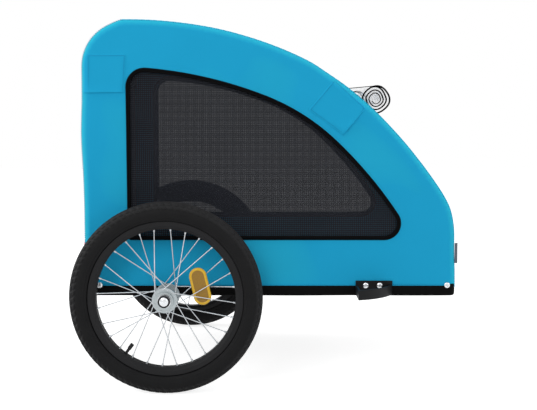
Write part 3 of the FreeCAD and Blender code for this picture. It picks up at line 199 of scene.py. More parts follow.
def new_object(name, vertices, quads, uv=None):
    """An object at the origin from whole arrays: vertices (n, 3), quads (m, 4) and a UV per corner (m, 4, 2)."""
    mesh = bpy.data.meshes.new(name)
    mesh.vertices.add(len(vertices))
    mesh.vertices.foreach_set("co", np.asarray(vertices, np.float32).ravel())
    mesh.loops.add(quads.size)
    mesh.loops.foreach_set("vertex_index", quads.astype(np.int32).ravel())
    mesh.polygons.add(len(quads))
    mesh.polygons.foreach_set("loop_start", np.arange(0, quads.size, 4, dtype=np.int32))
    mesh.polygons.foreach_set("use_smooth", np.ones(len(quads), bool))
    if uv is not None:
        layer = mesh.uv_layers.new(name="metres")
        layer.data.foreach_set("uv", np.asarray(uv, np.float32).ravel())
    mesh.update(calc_edges=True)
    mesh.validate()
    made = bpy.data.objects.new(name, mesh)
    bpy.context.scene.collection.objects.link(made)
    return made


def cell_corners(grid):
    """The four corners of each cell of a grid, in turn round the cell."""
    return np.stack([grid[:-1, :-1], grid[:-1, 1:], grid[1:, 1:], grid[1:, :-1]], axis=2)


def grid_quads(rows, columns, closed):
    """The quads of a grid of points, row by row, its columns closed into a loop if asked."""
    index = np.arange(rows * columns).reshape(rows, columns)
    return cell_corners(closed_rows(index) if closed else index).reshape(-1, 4)


def grid_object(name, points, uv, closed=False, inside=(0.0, 0.0, 0.0)):
    """A surface on a grid of points (rows, columns, 3), its faces turned away from a point inside it."""
    quads = grid_quads(*points.shape[:2], closed)
    flat = points.reshape(-1, 3)
    corner_uv = cell_corners(uv).reshape(-1, 4, 2)
    a, b, c, d = (flat[quads[:, k]] for k in range(4))
    if (np.cross(c - a, d - b) * ((a + c) / 2 - inside)).sum() < 0:
        quads, corner_uv = quads[:, ::-1], corner_uv[:, ::-1]
    return new_object(name, flat, quads, corner_uv)


def solid_wall(piece, thickness):
    """Gives a sheet its thickness, inwards from the surface."""
    wall = piece.modifiers.new("wall", "SOLIDIFY")
    wall.thickness = thickness
    wall.offset = -1


# Outlines in the side view, as (x, z)

def seam_inset(inset):
    """The rear roof seam moved in under the cover, along the middle of its two slopes."""
    first = (SEAM - CORNER) / CORNER_R
    second = np.array([0.0, 1.0])
    return SEAM - inset * (first + second) / (1 + first @ second)


def door_frame(inset):
    """The rear door's frame line from its foot: an upright line, then the rounded corner up to the seam."""
    upright = np.linspace([REAR_X + inset, FOOT_Z + 0.002], [REAR_X + inset, CORNER[1]], 120)
    end = turn_of(seam_inset(inset), CORNER)
    return np.concatenate([upright[:-1], arc(CORNER, CORNER_R - inset, -math.pi / 2, end, 60)])


def roof_frame(inset):
    """The roof's frame line from the seam to where the clear cover is sewn on: two arcs that meet smoothly."""
    first = arc(ROOF, ROOF_R - inset, turn_of(seam_inset(inset), ROOF), ROOF_END, 60)
    return np.concatenate([first[:-1], arc(SLOPE, SLOPE_R - inset, ROOF_END, SPLIT_TURN, 110)])


def nose_frame(inset):
    """The front's frame line from that seam down: the rest of the slope, the nose arc and an upright line."""
    slope = arc(SLOPE, SLOPE_R - inset, SPLIT_TURN, SLOPE_END, 110)
    nose = arc(NOSE, NOSE_R - inset, SLOPE_END, math.pi / 2, 50)
    upright = np.linspace(nose[-1], [FRONT_X - inset, FOOT_Z], 40)
    return np.concatenate([slope[:-1], nose[:-1], upright])


def bulged(line, frame_line, bulge, start=0.0):
    """A line moved out along the frame line's normals by the bulge, smoothed over 40 mm."""
    places, heights = np.array(bulge).T
    at = np.arange(places[-1] + 1)
    window = np.hanning(43)[1:-1]
    rough = np.pad(np.interp(at, places, heights), 20, mode="edge")
    soft = np.convolve(rough, window / window.sum(), mode="valid")
    out = np.interp(1000 * (lengths(frame_line) + start), at, soft) / 1000
    return line + line_normals(frame_line) * out[:, None]


def door_line(inset=0.0):
    """The rear door's line, bulged."""
    return bulged(door_frame(inset), door_frame(0.0), DOOR_BULGE)


def roof_line(inset=0.0):
    """The roof's line, bulged."""
    return bulged(roof_frame(inset), roof_frame(0.0), ROOF_BULGE)


def nose_line(inset=0.0):
    """The front's line, bulged on from the roof's."""
    return bulged(nose_frame(inset), nose_frame(0.0), ROOF_BULGE, ROOF_LENGTH)


def cover_loop(inset, foot):
    """The side panel's closed outline, moved in from the roof, rear and front, with its foot at a height."""
    line = np.concatenate([door_line(inset), roof_line(inset)[1:], nose_line(inset)[1:]])
    line[:, 1] += (foot - FOOT_Z) * (1 - fade(line[:, 1] - FOOT_Z, 0.05))
    return np.concatenate([line, np.linspace(line[-1], line[0], FOOT_POINTS + 2)[1:-1]])


def window_loop(inset=0.0):
    """A side window: upright rear edge, level foot, a top of three arcs and round corners, moved in evenly."""
    left, bottom = REAR_X + 0.0925 + inset, FOOT_Z + 0.1018 + inset
    foot_r, top_r, nose_r = (max(corner - inset, 0.002) for corner in WINDOW_CORNERS)
    rear_r, middle_r, front_r = WINDOW_R
    bend_start, bend_end = WINDOW_BENDS
    first = np.array([REAR_X + 0.0631, TOP_Z - 0.0979 - rear_r])
    second = first + (rear_r - middle_r) * heading(bend_start)
    third = second + (middle_r - front_r) * heading(bend_end)
    reach = rear_r - inset - top_r
    top = np.array([left + top_r, first[1] + math.sqrt(reach ** 2 - (left + top_r - first[0]) ** 2)])
    reach = front_r - inset - nose_r
    nose = np.array([third[0] + math.sqrt(reach ** 2 - (bottom + nose_r - third[1]) ** 2), bottom + nose_r])
    foot = np.array([left + foot_r, bottom + foot_r])
    top_turn, nose_turn = turn_of(top, first), turn_of(nose, third)
    return np.concatenate([
        arc(top, top_r, -math.pi / 2, top_turn, 40),
        arc(first, rear_r - inset, top_turn, bend_start, 180),
        arc(second, middle_r - inset, bend_start, bend_end, 120),
        arc(third, front_r - inset, bend_end, nose_turn, 160),
        arc(nose, nose_r, nose_turn, math.pi, 40),
        arc(foot, foot_r, math.pi, 1.5 * math.pi, 20),
    ])


def seen_from(centre, points, loop):
    """Where the rays from a centre through these points cross a closed line round that centre."""
    dense = spaced(loop, 3000, closed=True) - centre
    angle = np.arctan2(dense[:, 1], dense[:, 0])
    order = np.argsort(angle)
    away = points - centre
    sight = np.arctan2(away[:, 1], away[:, 0])
    radius = np.interp(sight, angle[order], np.linalg.norm(dense, axis=1)[order], period=2 * math.pi)
    return centre + unit(away) * radius[:, None]


def edge_distance(x, z):
    """How far a place on the side is from the cover's nearest edge: rear, front, roof, slope or rear corner."""
    arcs = ((ROOF, ROOF_R), (SLOPE, SLOPE_R))
    away = [radius - np.hypot(x - centre[0], z - centre[1]) for centre, radius in arcs]
    corner = CORNER_R - np.hypot(x - CORNER[0], z - CORNER[1])
    away += [x - REAR_X, FRONT_X - x, np.where((x < CORNER[0]) & (z > CORNER[1]), corner, 1.0)]
    return np.minimum.reduce(away)


def side_level(flat):
    """How far out the side cloth stands: a quarter ellipse near the cover's edge, slow waves further in."""
    x, z = flat[..., 0], flat[..., 1]
    near = edge_distance(x, z)
    fall = EDGE_OUT * (1 - np.sqrt(1 - np.clip(1 - near / EDGE_IN, 0, 1) ** 2))
    slow = np.sin(x / 0.085 + 1.3) * np.sin(z / 0.066 + 0.4)
    quick = np.sin((x + 0.7 * z) / 0.036 + 2.0) * np.sin((z - 0.5 * x) / 0.052)
    return SIDE_Y - fall + (0.0007 * slow + 0.0004 * quick) * fade(near - EDGE_IN, 0.03)


def puckers(run, near, height):
    """Fine puckers along a seam: a sine of 13 mm, dying out by a curve of 8 mm from the seam."""
    return height * np.sin(run / 0.0021) * np.exp(-near / 0.008)


# Sewn side panels

def side_panel(side, hand):
    """The side cloth: rows that round over the frame tube, then run straight to the window's edge.

    Each of the first rows is the cover's outline moved in by a - a cos(t) and standing out by b sin(t), for t
    from the seam's turn to a right angle. Along the foot the cloth hangs straight, with no rounding. From there
    the rows blend in a straight line to the window. Fine puckers fade away from the seam.
    """
    rows, levels = [], []
    for turn in np.linspace(EDGE_SEAM, math.pi / 2, 14):
        loop = cover_loop(EDGE_IN * (1 - math.cos(turn)), FOOT_Z + 0.0004 * len(rows))
        foot_x = loop[-FOOT_POINTS:, 0]
        along_foot = np.zeros(len(loop))
        along_foot[-FOOT_POINTS:] = fade(np.minimum(foot_x - REAR_X, FRONT_X - foot_x), 0.03)
        rows.append(loop)
        levels.append(SIDE_Y - EDGE_OUT * (1 - math.sin(turn)) * (1 - along_foot))
    edge = rows[-1]
    rim = seen_from(HUB_OF_WINDOW, edge, window_loop(0.004))
    inner = rings_between(edge, rim, np.linspace(0, 1, 25)[1:])
    flat = np.concatenate([rows, inner])
    near = np.linalg.norm(flat - flat[0], axis=-1)
    run = lengths(closed_line(edge))[:-1]
    level = np.concatenate([levels, side_level(inner)]) + puckers(run, near, 0.0004)
    points = placed(flat, side * level)
    panel = grid_object("side_cloth_" + hand, points, closed_rows(flat), closed=True, inside=INSIDE)
    solid_wall(panel, CLOTH_WALL)
    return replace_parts(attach(panel, "chassis"), "side_panel_" + hand)


# Strips over the roof, rear and front, laid flat as (distance along the line, distance from the middle)

def strip_place(line, flat, out):
    """The points of a strip of cloth, each this far out from its line.

    Past its flat part it rounds over the frame tube: a turn t moves it in by a - a cos(t), out by b sin(t).
    """
    along, across = flat[..., 0], flat[..., 1]
    run = lengths(line)
    turn = fade(np.abs(across) - STRIP_FLAT, STRIP_HALF - STRIP_FLAT) * EDGE_SEAM
    y = np.sign(across) * (np.minimum(np.abs(across), STRIP_FLAT) + EDGE_OUT * np.sin(turn))
    lift = (out - EDGE_IN * (1 - np.cos(turn)))[..., None]
    return placed(read_at(along, run, line) + read_at(along, run, line_normals(line)) * lift, y)


def strip_wave(flat):
    """Slow waves of the cloth between the two arches, dying out over the tubes and at the strip's first seam."""
    along, across = flat[..., 0], flat[..., 1]
    free = fade(STRIP_HALF - np.abs(across), 0.08) ** 2 * fade(along, 0.04)
    wave = np.sin(along / 0.062 + 0.8) * np.cos(across / 0.071) + 0.6 * np.sin((along + 0.6 * across) / 0.034)
    return 0.0009 * free * wave


def roll_hollow(flat):
    """How deep the clear roll lies in the front cloth: a bell along the strip, fading out over the tubes."""
    free = fade(STRIP_FLAT - np.abs(flat[..., 1]), 0.016)
    return 0.0105 * np.exp(-((flat[..., 0] - 0.043) / 0.018) ** 2) * free ** 2 * (3 - 2 * free)


def plain_strip(name, line, rows, sag):
    """A whole strip of cloth along a line, sagging by a half sine between the arches, gathered at its edges."""
    run = lengths(line)[-1]
    tube = np.linspace(STRIP_FLAT, STRIP_HALF, 8)
    places = np.concatenate([-tube[::-1], np.linspace(-STRIP_FLAT, STRIP_FLAT, 70)[1:-1], tube])
    flat = pairs(np.linspace(0, run, rows), places, "ij")
    along, across = flat[..., 0], flat[..., 1]
    dip = sag * np.cos(across / STRIP_HALF * math.pi / 2) * np.sin(along / run * math.pi)
    gather = puckers(along, STRIP_HALF - np.abs(across), 0.0003)
    out = strip_wave(flat) * fade(run - along, 0.04) - dip + gather
    piece = grid_object(name, strip_place(line, flat, out), flat, inside=INSIDE)
    solid_wall(piece, CLOTH_WALL)
    return piece


def roof_cloth():
    """The roof's strip."""
    line = roof_line()
    piece = plain_strip("roof_cloth", line, 190, 0.003)
    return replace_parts(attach(piece, "chassis"), "roof_panel")


def door_cloth():
    """The rear door's strip."""
    line = door_line()
    piece = plain_strip("door_cloth", line, 200, 0.002)
    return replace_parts(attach(piece, "door"), "rear_door")


def front_window():
    """The front's line, its length, and how far along it the window ends."""
    line = nose_line()
    run = lengths(line)
    return line, run[-1], float(np.interp(FRONT_FOOT_Z, line[::-1, 1], run[::-1]))


def front_opening(inset):
    """The front window's opening on the strip: a rectangle with round corners, moved in evenly."""
    end = front_window()[2]
    half = ((end - FRONT_HEAD) / 2 - inset, FRONT_HALF - inset)
    return round_rectangle(((FRONT_HEAD + end) / 2, 0.0), half, 0.030 - inset, 3000)


def front_cloth():
    """The front cloth: rings from its rectangular edge in to the window, laid on the strip."""
    line, run, end = front_window()
    corners = np.array([(0, -STRIP_HALF), (0, STRIP_HALF), (run, STRIP_HALF), (run, -STRIP_HALF)])
    edge = np.concatenate([np.linspace(corners[k], corners[(k + 1) % 4], 160)[:-1] for k in range(4)])
    rim = seen_from(np.array([(FRONT_HEAD + end) / 2, 0.0]), edge, front_opening(0.0))
    flat = rings_between(edge, rim, np.concatenate([np.linspace(0, 0.06, 8), np.linspace(0.06, 1, 34)[1:]]))
    points = strip_place(line, flat, strip_wave(flat) - roll_hollow(flat))
    piece = grid_object("front_cloth", points, closed_rows(flat), closed=True, inside=INSIDE)
    solid_wall(piece, CLOTH_WALL)
    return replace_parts(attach(piece, "chassis"), "front_panel")


def front_net():
    """The front net: a rectangle of the strip, 3 mm under the cloth."""
    line, _, end = front_window()
    half = FRONT_HALF + NET_LAP
    flat = pairs(np.linspace(FRONT_HEAD - NET_LAP, end + NET_LAP, 90), np.linspace(-half, half, 60), "ij")
    points = strip_place(line, flat, -0.0028 - roll_hollow(flat))
    piece = grid_object("front_net", points, flat, inside=INSIDE)
    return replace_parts(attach(piece, "chassis"), "front_mesh")


# Bindings, hems and nets

def carried(path, normal, profile, closed):
    """A profile of (across, height) points carried along a path, with height in lengths of its normals."""
    ahead = np.roll(path, -1, axis=0) if closed else np.concatenate([path[1:], path[-1:]])
    behind = np.roll(path, 1, axis=0) if closed else np.concatenate([path[:1], path[:-1]])
    across = unit(np.cross(normal, unit(ahead - behind)))
    return path[None] + across[None] * profile[:, 0, None, None] + normal[None] * profile[:, 1, None, None]


def taped(name, path, normal, width, height):
    """A tape along a closed path: a half ellipse, fuller at its shoulders, with length and width as UV."""
    turn = np.linspace(0, math.pi, 11)
    profile = np.stack([-width / 2 * np.cos(turn), height * np.sin(turn) ** 0.7], axis=-1)
    uv = pairs(lengths(closed_line(path)), profile[:, 0])
    return grid_object(name, carried(path, normal, profile, True), uv, closed=True, inside=INSIDE)


def side_path(flat, side, proud):
    """A line on the side cloth, from side-view points, this far proud of it, and its normals."""
    return placed(flat, side * (side_level(flat) + proud)), np.tile([0.0, side, 0.0], (len(flat), 1))


def window_tape(side, hand):
    """The raised binding round a side window."""
    path, normal = side_path(spaced(window_loop(0.0043), 900, closed=True), side, 0.0)
    piece = taped("window_tape_" + hand, path, normal, 0.0086, 0.0026)
    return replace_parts(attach(piece, "chassis"), "window_binding_" + hand)


def window_hem(side, hand):
    """The flat hem tape behind the side cloth, from 4 mm outside the window's edge to the binding's inside."""
    outer = spaced(window_loop(-0.004), 700, closed=True)
    shares = np.linspace(0, 1, 6)
    flat = rings_between(outer, seen_from(HUB_OF_WINDOW, outer, window_loop(0.0083)), shares)
    run = lengths(closed_line(outer))
    points = placed(flat, side * (side_level(flat) - 0.0020))
    uv = pairs(run, 0.0123 * shares)
    piece = grid_object("window_hem_" + hand, points, uv, closed=True, inside=INSIDE)
    solid_wall(piece, 0.0009)
    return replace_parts(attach(piece, "chassis"), "window_border_" + hand)


def window_net(side, hand):
    """The net of a side window: rings from its outline in to a point, slightly slack."""
    outer = spaced(window_loop(0.002), 520, closed=True)
    shares = np.linspace(0, 1, 60)
    flat = rings_between(outer, HUB_OF_WINDOW, shares)
    slack = 0.0022 * (1 - (1 - shares) ** 2)[:, None]
    points = placed(flat, side * (side_level(flat) - 0.0042 - slack))
    piece = grid_object("window_net_" + hand, points, closed_rows(flat), closed=True, inside=INSIDE)
    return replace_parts(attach(piece, "chassis"), "window_mesh_" + hand)


def front_tape():
    """The raised binding round the front window: the same tape carried round its opening on the strip."""
    line = front_window()[0]
    loop = spaced(front_opening(-0.001), 700, closed=True)
    wave = strip_wave(loop) - roll_hollow(loop)
    path = strip_place(line, loop, wave)
    normal = unit(strip_place(line, loop, wave + 0.001) - path)
    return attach(taped("front_window_tape", path, normal, 0.010, 0.0024), "chassis")


# Tabs, skirt and label

def front_tab():
    """The slanted tab's corners over the front cross bar: distances ahead and down from the roof's edge."""
    lean = math.radians(40)
    middle = SLOPE + heading(math.radians(37)) * (SLOPE_R - 0.003)
    ahead, down = np.array([math.cos(lean), -math.sin(lean)]), -heading(lean)
    corners = ((-0.0435, 0.0857), (0.0477, 0.0795), (0.0477, 0.0030), (-0.0435, 0.0))
    return np.array([middle + ahead * forward + down * drop for forward, drop in corners])


def tab(name, side, hand, corners, open_edge, lift):
    """A sewn tab: a four-sided patch that rises from three edges in a quarter circle and gapes at the open one.

    The height grows as the root of the distance to the nearest edge, up to 1.1 mm, more gently from the head.
    The open edge has this lift more.
    """
    share = np.linspace(0, 1, 60)
    u, v = np.meshgrid(share, share, indexing="ij")
    a, b, c, d = corners
    low = a + u[..., None] * (b - a)
    flat = low + v[..., None] * (d + u[..., None] * (c - d) - low)
    wide, tall = np.linalg.norm(b - a), np.linalg.norm(d - a)
    away = {"foot": v * tall, "ahead": (1 - u) * wide, "behind": u * wide, "head": (1 - v) * tall / 5}
    free = away.pop(open_edge)
    sewn = np.minimum.reduce(list(away.values()))
    rise = 0.0011 * np.sqrt(1 - (1 - fade(np.minimum(sewn, free), 0.0022)) ** 2)
    gape = fade(free, 0.0006) * np.exp(-free / 0.016) * fade(sewn, 0.012)
    points = placed(flat, side * (side_level(flat) + rise + lift * gape + 0.0001))
    piece = grid_object(name + hand, points, flat, inside=INSIDE)
    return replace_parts(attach(piece, "chassis"), "cover_tabs")


def tab_seam(corners):
    """A line 4 mm inside a tab's edges."""
    a, b, c, d = corners
    u, v = unit(b - a) * 0.004, unit(d - a) * 0.004
    turns = [a + u + v, b - u + v, c - u - v, d + u - v, a + u + v]
    return np.concatenate([np.linspace(turns[k], turns[k + 1], 40) for k in range(4)])


def skirt():
    """The dark band round the foot: a hem profile of (inset, height) carried round a round-cornered rectangle.

    It laps the outside of the side cloth by 4 mm, and its top edge rises as much again round the front.
    """
    low, high = REAR_X + 0.0008, FRONT_X + 0.0040
    profile = np.array([
        (0.0003, 0.2141), (-0.0004, 0.2141), (-0.0008, 0.2134), (-0.0008, 0.202), (-0.0006, 0.1965),
        (0.0002, 0.1937), (0.0018, 0.1924), (0.004, 0.1921), (0.007, 0.1921), (0.012, 0.1924)])
    rings = []
    for inset, height in profile:
        half = ((high - low) / 2 - inset, 0.2551 - inset)
        loop = round_rectangle(((low + high) / 2, 0.0), half, 0.0125 - inset, 900)
        rings.append(np.concatenate([loop, np.full((len(loop), 1), height)], axis=1))
    points = np.array(rings)
    run, drop = lengths(closed_line(points[0])), lengths(profile)
    x, z = points[..., 0], points[..., 2]
    z += 0.0003 * np.sin(run[:-1] / 0.041) * fade(0.205 - z, 0.01)
    z += 0.0040 * fade(x - FRONT_X + 0.016, 0.012) * fade(z - 0.205, 0.009)
    piece = grid_object("skirt_cloth", points, pairs(run, drop), closed=True, inside=INSIDE * [1, 1, 0.5])
    solid_wall(piece, 0.001)
    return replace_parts(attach(piece, "chassis"), "skirt_band")


def seam_tag():
    """The bare label in the front seam: a ribbon folded over, its fold a half circle."""
    low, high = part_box("seam_tag")
    turn = np.linspace(-math.pi / 2, math.pi / 2, 9)
    half, tip, root = 0.0006, high.x + 0.0010, FRONT_X + 0.0025
    bend = np.stack([tip + half * np.cos(turn), half * np.sin(turn)], axis=-1)
    fold = np.concatenate([[[root, -half]], bend, [[root, half]]])
    z = np.linspace(low.z, high.z, 20)
    y = -0.2506 + fold[:, 1:] + 0.0005 * np.sin(z / 0.009)
    points = np.stack(np.broadcast_arrays(fold[:, :1], y, z), axis=-1)
    middle = points.reshape(-1, 3).mean(axis=0)
    piece = grid_object("seam_label", points, pairs(lengths(fold), z, "ij"), inside=middle)
    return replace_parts(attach(piece, "chassis"), "seam_tag")


# Rolled clear cover

def roll_line():
    """The clear sheet's side view and its turns: a straight tail up from its seam, then a coil winding in.

    The coil's radius follows the winding, and a four-sided wave squares it a little.
    """
    turns, radii = np.array(ROLL_WIND).T
    seam = SLOPE + heading(SPLIT_TURN - 0.020) * (SLOPE_R + 0.0026)
    away = seam - ROLL
    start = math.atan2(away[1], away[0]) - math.acos(min(1.0, 0.001 * radii[0] / np.linalg.norm(away)))
    turned = np.linspace(0, turns[-1], 480)
    angle = start - 2 * math.pi * turned
    square = 1 + 0.03 * np.cos(4 * angle + 0.4) * np.clip(6 * turned, 0, 1)
    radius = 0.001 * np.interp(turned, turns, radii) * square
    coil = ROLL + radius[:, None] * np.stack([np.cos(angle), np.sin(angle)], axis=-1)
    tail = np.linspace(seam, coil[0], 14)[:-1]
    return np.concatenate([tail, coil]), np.concatenate([np.full(len(tail), ROLL_TAPE[0][0]), turned])


def clear_roll():
    """The rolled sheet, with slow ripples along it, and the dark tape bound round each end."""
    line, turned = roll_line()
    run = lengths(line)
    y = np.linspace(-ROLL_HALF, ROLL_HALF, 60)
    ripple = 0.0007 * np.sin(y[None] / 0.033 + run[:, None] / 0.05) * fade(run, 0.06)[:, None]
    flat = line[:, None] + unit(line - ROLL)[:, None] * ripple[..., None]
    sheet = grid_object("clear_roll", placed(flat, y), pairs(run, y, "ij"))
    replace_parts(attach(sheet, "chassis"), "rain_cover_roll")
    turn = np.linspace(0, 2 * math.pi, 11)
    profile = np.stack([0.0045 * np.cos(turn), np.sin(turn)], axis=-1)
    thick = 0.001 * np.interp(turned, *np.array(ROLL_TAPE).T)
    way = np.gradient(line, run, axis=0)
    normal = np.stack([way[:, 1], np.zeros(len(line)), -way[:, 0]], axis=-1) * thick[:, None]
    tapes = []
    for side, hand in SIDES:
        points = carried(placed(line, side * ROLL_TAPE_Y), normal, profile, False)
        tapes.append(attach(grid_object("roll_tape_" + hand, points, pairs(run, profile[:, 0])), "chassis"))
    return sheet, tapes


# Tyres

def tyre(side, hand):
    """The tyre's outside: a round section turned about the axle, with its tread cut into it.

    The section's angle runs from bead to bead. Across the crown a centre rib, slanted side blocks and shoulder
    blocks are left standing, and the grooves between them go 2.2 mm deep. Fine rings run round the side walls.
    """
    pitch, steps = 84, 11
    middle, radius = 0.1765, 0.0235
    section = np.radians(np.concatenate([
        np.linspace(-134, -70, 22), np.linspace(-69, 69, 62), np.linspace(70, 134, 22)]))
    around = np.arange(pitch * steps) / (pitch * steps) * 2 * math.pi
    psi, theta = np.meshgrid(section, around, indexing="ij")
    width = np.abs(psi) / math.radians(60)
    phase = theta * pitch / (2 * math.pi) + 0.9 * np.abs(psi) + np.where(psi > 0, 0.5, 0.0)
    tooth = np.abs((phase % 1.0) - 0.5) * 2
    block = fade(tooth - 0.30, 0.14)
    rib = fade(0.17 - width, 0.03)
    lug = fade(width - 0.26, 0.04) * fade(0.70 - width, 0.04) * block
    shoulder = fade(width - 0.78, 0.05) * fade(1.14 - width, 0.05) * (0.15 + 0.85 * block)
    standing = np.maximum(np.maximum(rib, lug), shoulder)
    side_wall = fade(width - 1.08, 0.06)
    rings = 0.00025 * np.sin(np.abs(psi) / math.radians(2.2)) * fade(width - 1.75, 0.1)
    belt = 0.0006 * np.exp(-((np.abs(psi) - math.radians(112)) / math.radians(2.2)) ** 2)
    reach = radius - 0.0022 * (1 - standing) * (1 - side_wall) - 0.0012 * side_wall + rings + belt
    out = middle + reach * np.cos(psi)
    hub = np.array([AXLE_X, side * WHEEL_Y, WHEEL_Z])
    points = hub + np.stack([out * np.cos(theta), reach * np.sin(psi), out * np.sin(theta)], axis=-1)
    uv = pairs(np.concatenate([around, [2 * math.pi]]) * 0.2, section * radius)
    piece = grid_object("tyre_outside_" + hand, points, uv, closed=True, inside=hub)
    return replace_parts(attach(piece, hand + "_wheel"), "tyre_" + hand)


# Lenses and screws

def stadium(length, height, inset):
    """A long round-ended outline, moved in evenly."""
    radius, straight = height / 2 - inset, (length - height) / 2
    turn = np.linspace(0, 2 * math.pi, 96, endpoint=False)
    return np.stack([np.cos(turn) * radius + np.sign(np.cos(turn)) * straight, np.sin(turn) * radius], axis=-1)


def lens(name, size, steps, place, right, up, front):
    """A moulded lens: rings of a stadium, each moved in and raised by a step, the last flat to its middle."""
    right, up, front = (np.array(way, float) for way in (right, up, front))
    inset, height = steps[-1]
    rings = [(stadium(*size, inward), rise) for inward, rise in steps]
    rings += [(stadium(*size, inset) * shrink, height) for shrink in ([1.0, 0.6], [1.0, 0.25], [0.98, 0.0])]
    points = np.array([place + flat[:, :1] * right + flat[:, 1:] * up + front * rise for flat, rise in rings])
    uv = pairs(np.linspace(0, 1, points.shape[1] + 1), np.linspace(0, 1, len(points)))
    return grid_object(name, points, uv, closed=True, inside=place - front * 0.02)


def spoke_lens(side, hand):
    """The amber lens in a wheel's spokes: a bevelled border round a sunk panel."""
    lean, out, away = math.radians(103), math.radians(20), 0.076
    place = np.array([AXLE_X + away * math.cos(out), side * (WHEEL_Y + 0.006), WHEEL_Z + away * math.sin(out)])
    steps = [(0.0002, 0.0), (0.0, 0.0006), (0.0, 0.0042), (0.0012, 0.0056), (0.0050, 0.0064), (0.0056, 0.0054),
             (0.0066, 0.0052)]
    right, up = (math.cos(lean), 0, math.sin(lean)), (-math.sin(lean), 0, math.cos(lean))
    piece = lens("spoke_lens_" + hand, (0.078, 0.036), steps, place, right, up, (0, side, 0))
    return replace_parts(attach(piece, hand + "_wheel"), "spoke_reflector_" + hand)


def rear_lens(side, hand):
    """The round red lens low on the rear door."""
    steps = [(0.0002, 0.0), (0.0, 0.0006), (0.0, 0.0044), (0.0010, 0.0056), (0.0050, 0.0060), (0.0056, 0.0052)]
    place = np.array([REAR_X - 0.0002, side * 0.200, 0.283])
    piece = lens("rear_lens_" + hand, (0.058, 0.058), steps, place, (0, 1, 0), (0, 0, 1), (-1, 0, 0))
    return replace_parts(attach(piece, "door"), "rear_reflectors")


def screw_heads():
    """Pan heads with a cross recess: a height over a disc, round at its rim and sunk along two crossed bars."""
    radius, height, bar_half, bar_wide = 0.0065, 0.0032, 0.0030, 0.0008
    places = (
        (REAR_X + 0.032, 0.2554), (FRONT_X - 0.0133, 0.2554),
        (REAR_X + 0.598, 0.2584), (REAR_X + 0.628, 0.2584))
    turn = np.linspace(0, 2 * math.pi, 48, endpoint=False)
    r, t = np.meshgrid(np.linspace(0, radius, 26), turn, indexing="ij")
    u, v = r * np.cos(t), r * np.sin(t)
    dome = height * (1 - 0.55 * (r / radius) ** 2 - 0.45 * (r / radius) ** 14)
    bars = [np.maximum(np.abs(a) / bar_half, np.abs(b) / bar_wide) for a, b in ((u, v), (v, u))]
    rise = dome - 0.0017 * fade(1.15 - np.minimum(*bars), 0.3)
    cells = grid_quads(*r.shape, True)
    vertices, quads = [], []
    for x, seat in places:
        cos, sin = math.cos(0.5 + 40 * x), math.sin(0.5 + 40 * x)
        for side, _ in SIDES:
            quads.append((cells[:, ::-1] if side < 0 else cells) + r.size * len(vertices))
            head = np.stack([x + u * cos - v * sin, side * (seat + rise), 0.215 + u * sin + v * cos], axis=-1)
            vertices.append(head.reshape(-1, 3))
    piece = new_object("screw_heads", np.concatenate(vertices), np.concatenate(quads))
    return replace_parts(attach(piece, "chassis"), "frame_screws")


# Threads, as small shapes repeated along a line

def stitch(length, radius):
    """One stitch: a round bar that bows up and dips into the cloth at both ends."""
    along = np.linspace(-1, 1, 5)[:, None]
    turn = np.linspace(0, 2 * math.pi, 6, endpoint=False)[None]
    thick = radius * np.array([0.55, 1, 1, 1, 0.55])[:, None]
    bow = radius * (0.5 - 1.1 * along ** 4)
    bar = np.broadcast_arrays(along * length / 2, thick * np.cos(turn), thick * np.sin(turn) + bow)
    return np.stack(bar, axis=-1).reshape(-1, 3)


def stitches(name, lines, body, step=0.0042, length=0.0032, radius=0.00042):
    """Rows of stitches along lines of (path, normal), each set along its line with its bow along the normal."""
    shape, quads = stitch(length, radius), grid_quads(5, 6, True)
    sets = []
    for path, normal in lines:
        run = lengths(path)
        count = max(2, int(run[-1] / step))
        at = (np.arange(count) + 0.5) * run[-1] / count
        way = unit(read_at(at + 0.0005, run, path) - read_at(at - 0.0005, run, path))
        up = read_at(at, run, normal)
        up = unit(up - (up * way).sum(axis=1)[:, None] * way)
        basis = np.stack([way, np.cross(up, way), up], axis=1)
        sets.append(read_at(at, run, path)[:, None] + shape @ basis)
    vertices = np.concatenate(sets)
    faces = quads[None] + (np.arange(len(vertices)) * len(shape))[:, None, None]
    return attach(new_object(name, vertices.reshape(-1, 3), faces.reshape(-1, 4)), body)


def edge_path(line, side, edge_turn=EDGE_SEAM):
    """A row along the side cloth's edge with a strip: the line moved in to a turn there, and its normals."""
    normal = line_normals(line)
    flat = line - normal * EDGE_IN * (1 - math.cos(edge_turn))
    level = SIDE_Y - EDGE_OUT * (1 - math.sin(edge_turn))
    facing = placed(normal * EDGE_OUT * math.cos(edge_turn), side * EDGE_IN * math.sin(edge_turn))
    return placed(flat, side * level), unit(facing)


# Finishes

def linear(code):
    """A colour written as sRGB hex, turned to linear light."""
    parts = [int(code[k:k + 2], 16) / 255 for k in (0, 2, 4)]
    return tuple(p / 12.92 if p <= 0.04045 else ((p + 0.055) / 1.055) ** 2.4 for p in parts) + (1.0,)


def add(tree, kind, sockets=None, **settings):
    """Adds a node with its settings. A socket given a node's output is linked, and any other value is set."""
    made = tree.nodes.new(kind)
    for key, value in settings.items():
        setattr(made, key, value)
    for key, value in (sockets or {}).items():
        if isinstance(value, bpy.types.NodeSocket):
            tree.links.new(value, made.inputs[key])
        else:
            made.inputs[key].default_value = value
    return made


def maths(tree, operation, *values, clamp=False):
    """One step of arithmetic on numbers or other nodes' outputs."""
    sockets = dict(enumerate(values))
    return add(tree, "ShaderNodeMath", sockets, operation=operation, use_clamp=clamp).outputs[0]


def scaled(tree, vector, factor):
    """A place times a number."""
    return add(tree, "ShaderNodeVectorMath", {0: vector, "Scale": factor}, operation="SCALE").outputs["Vector"]


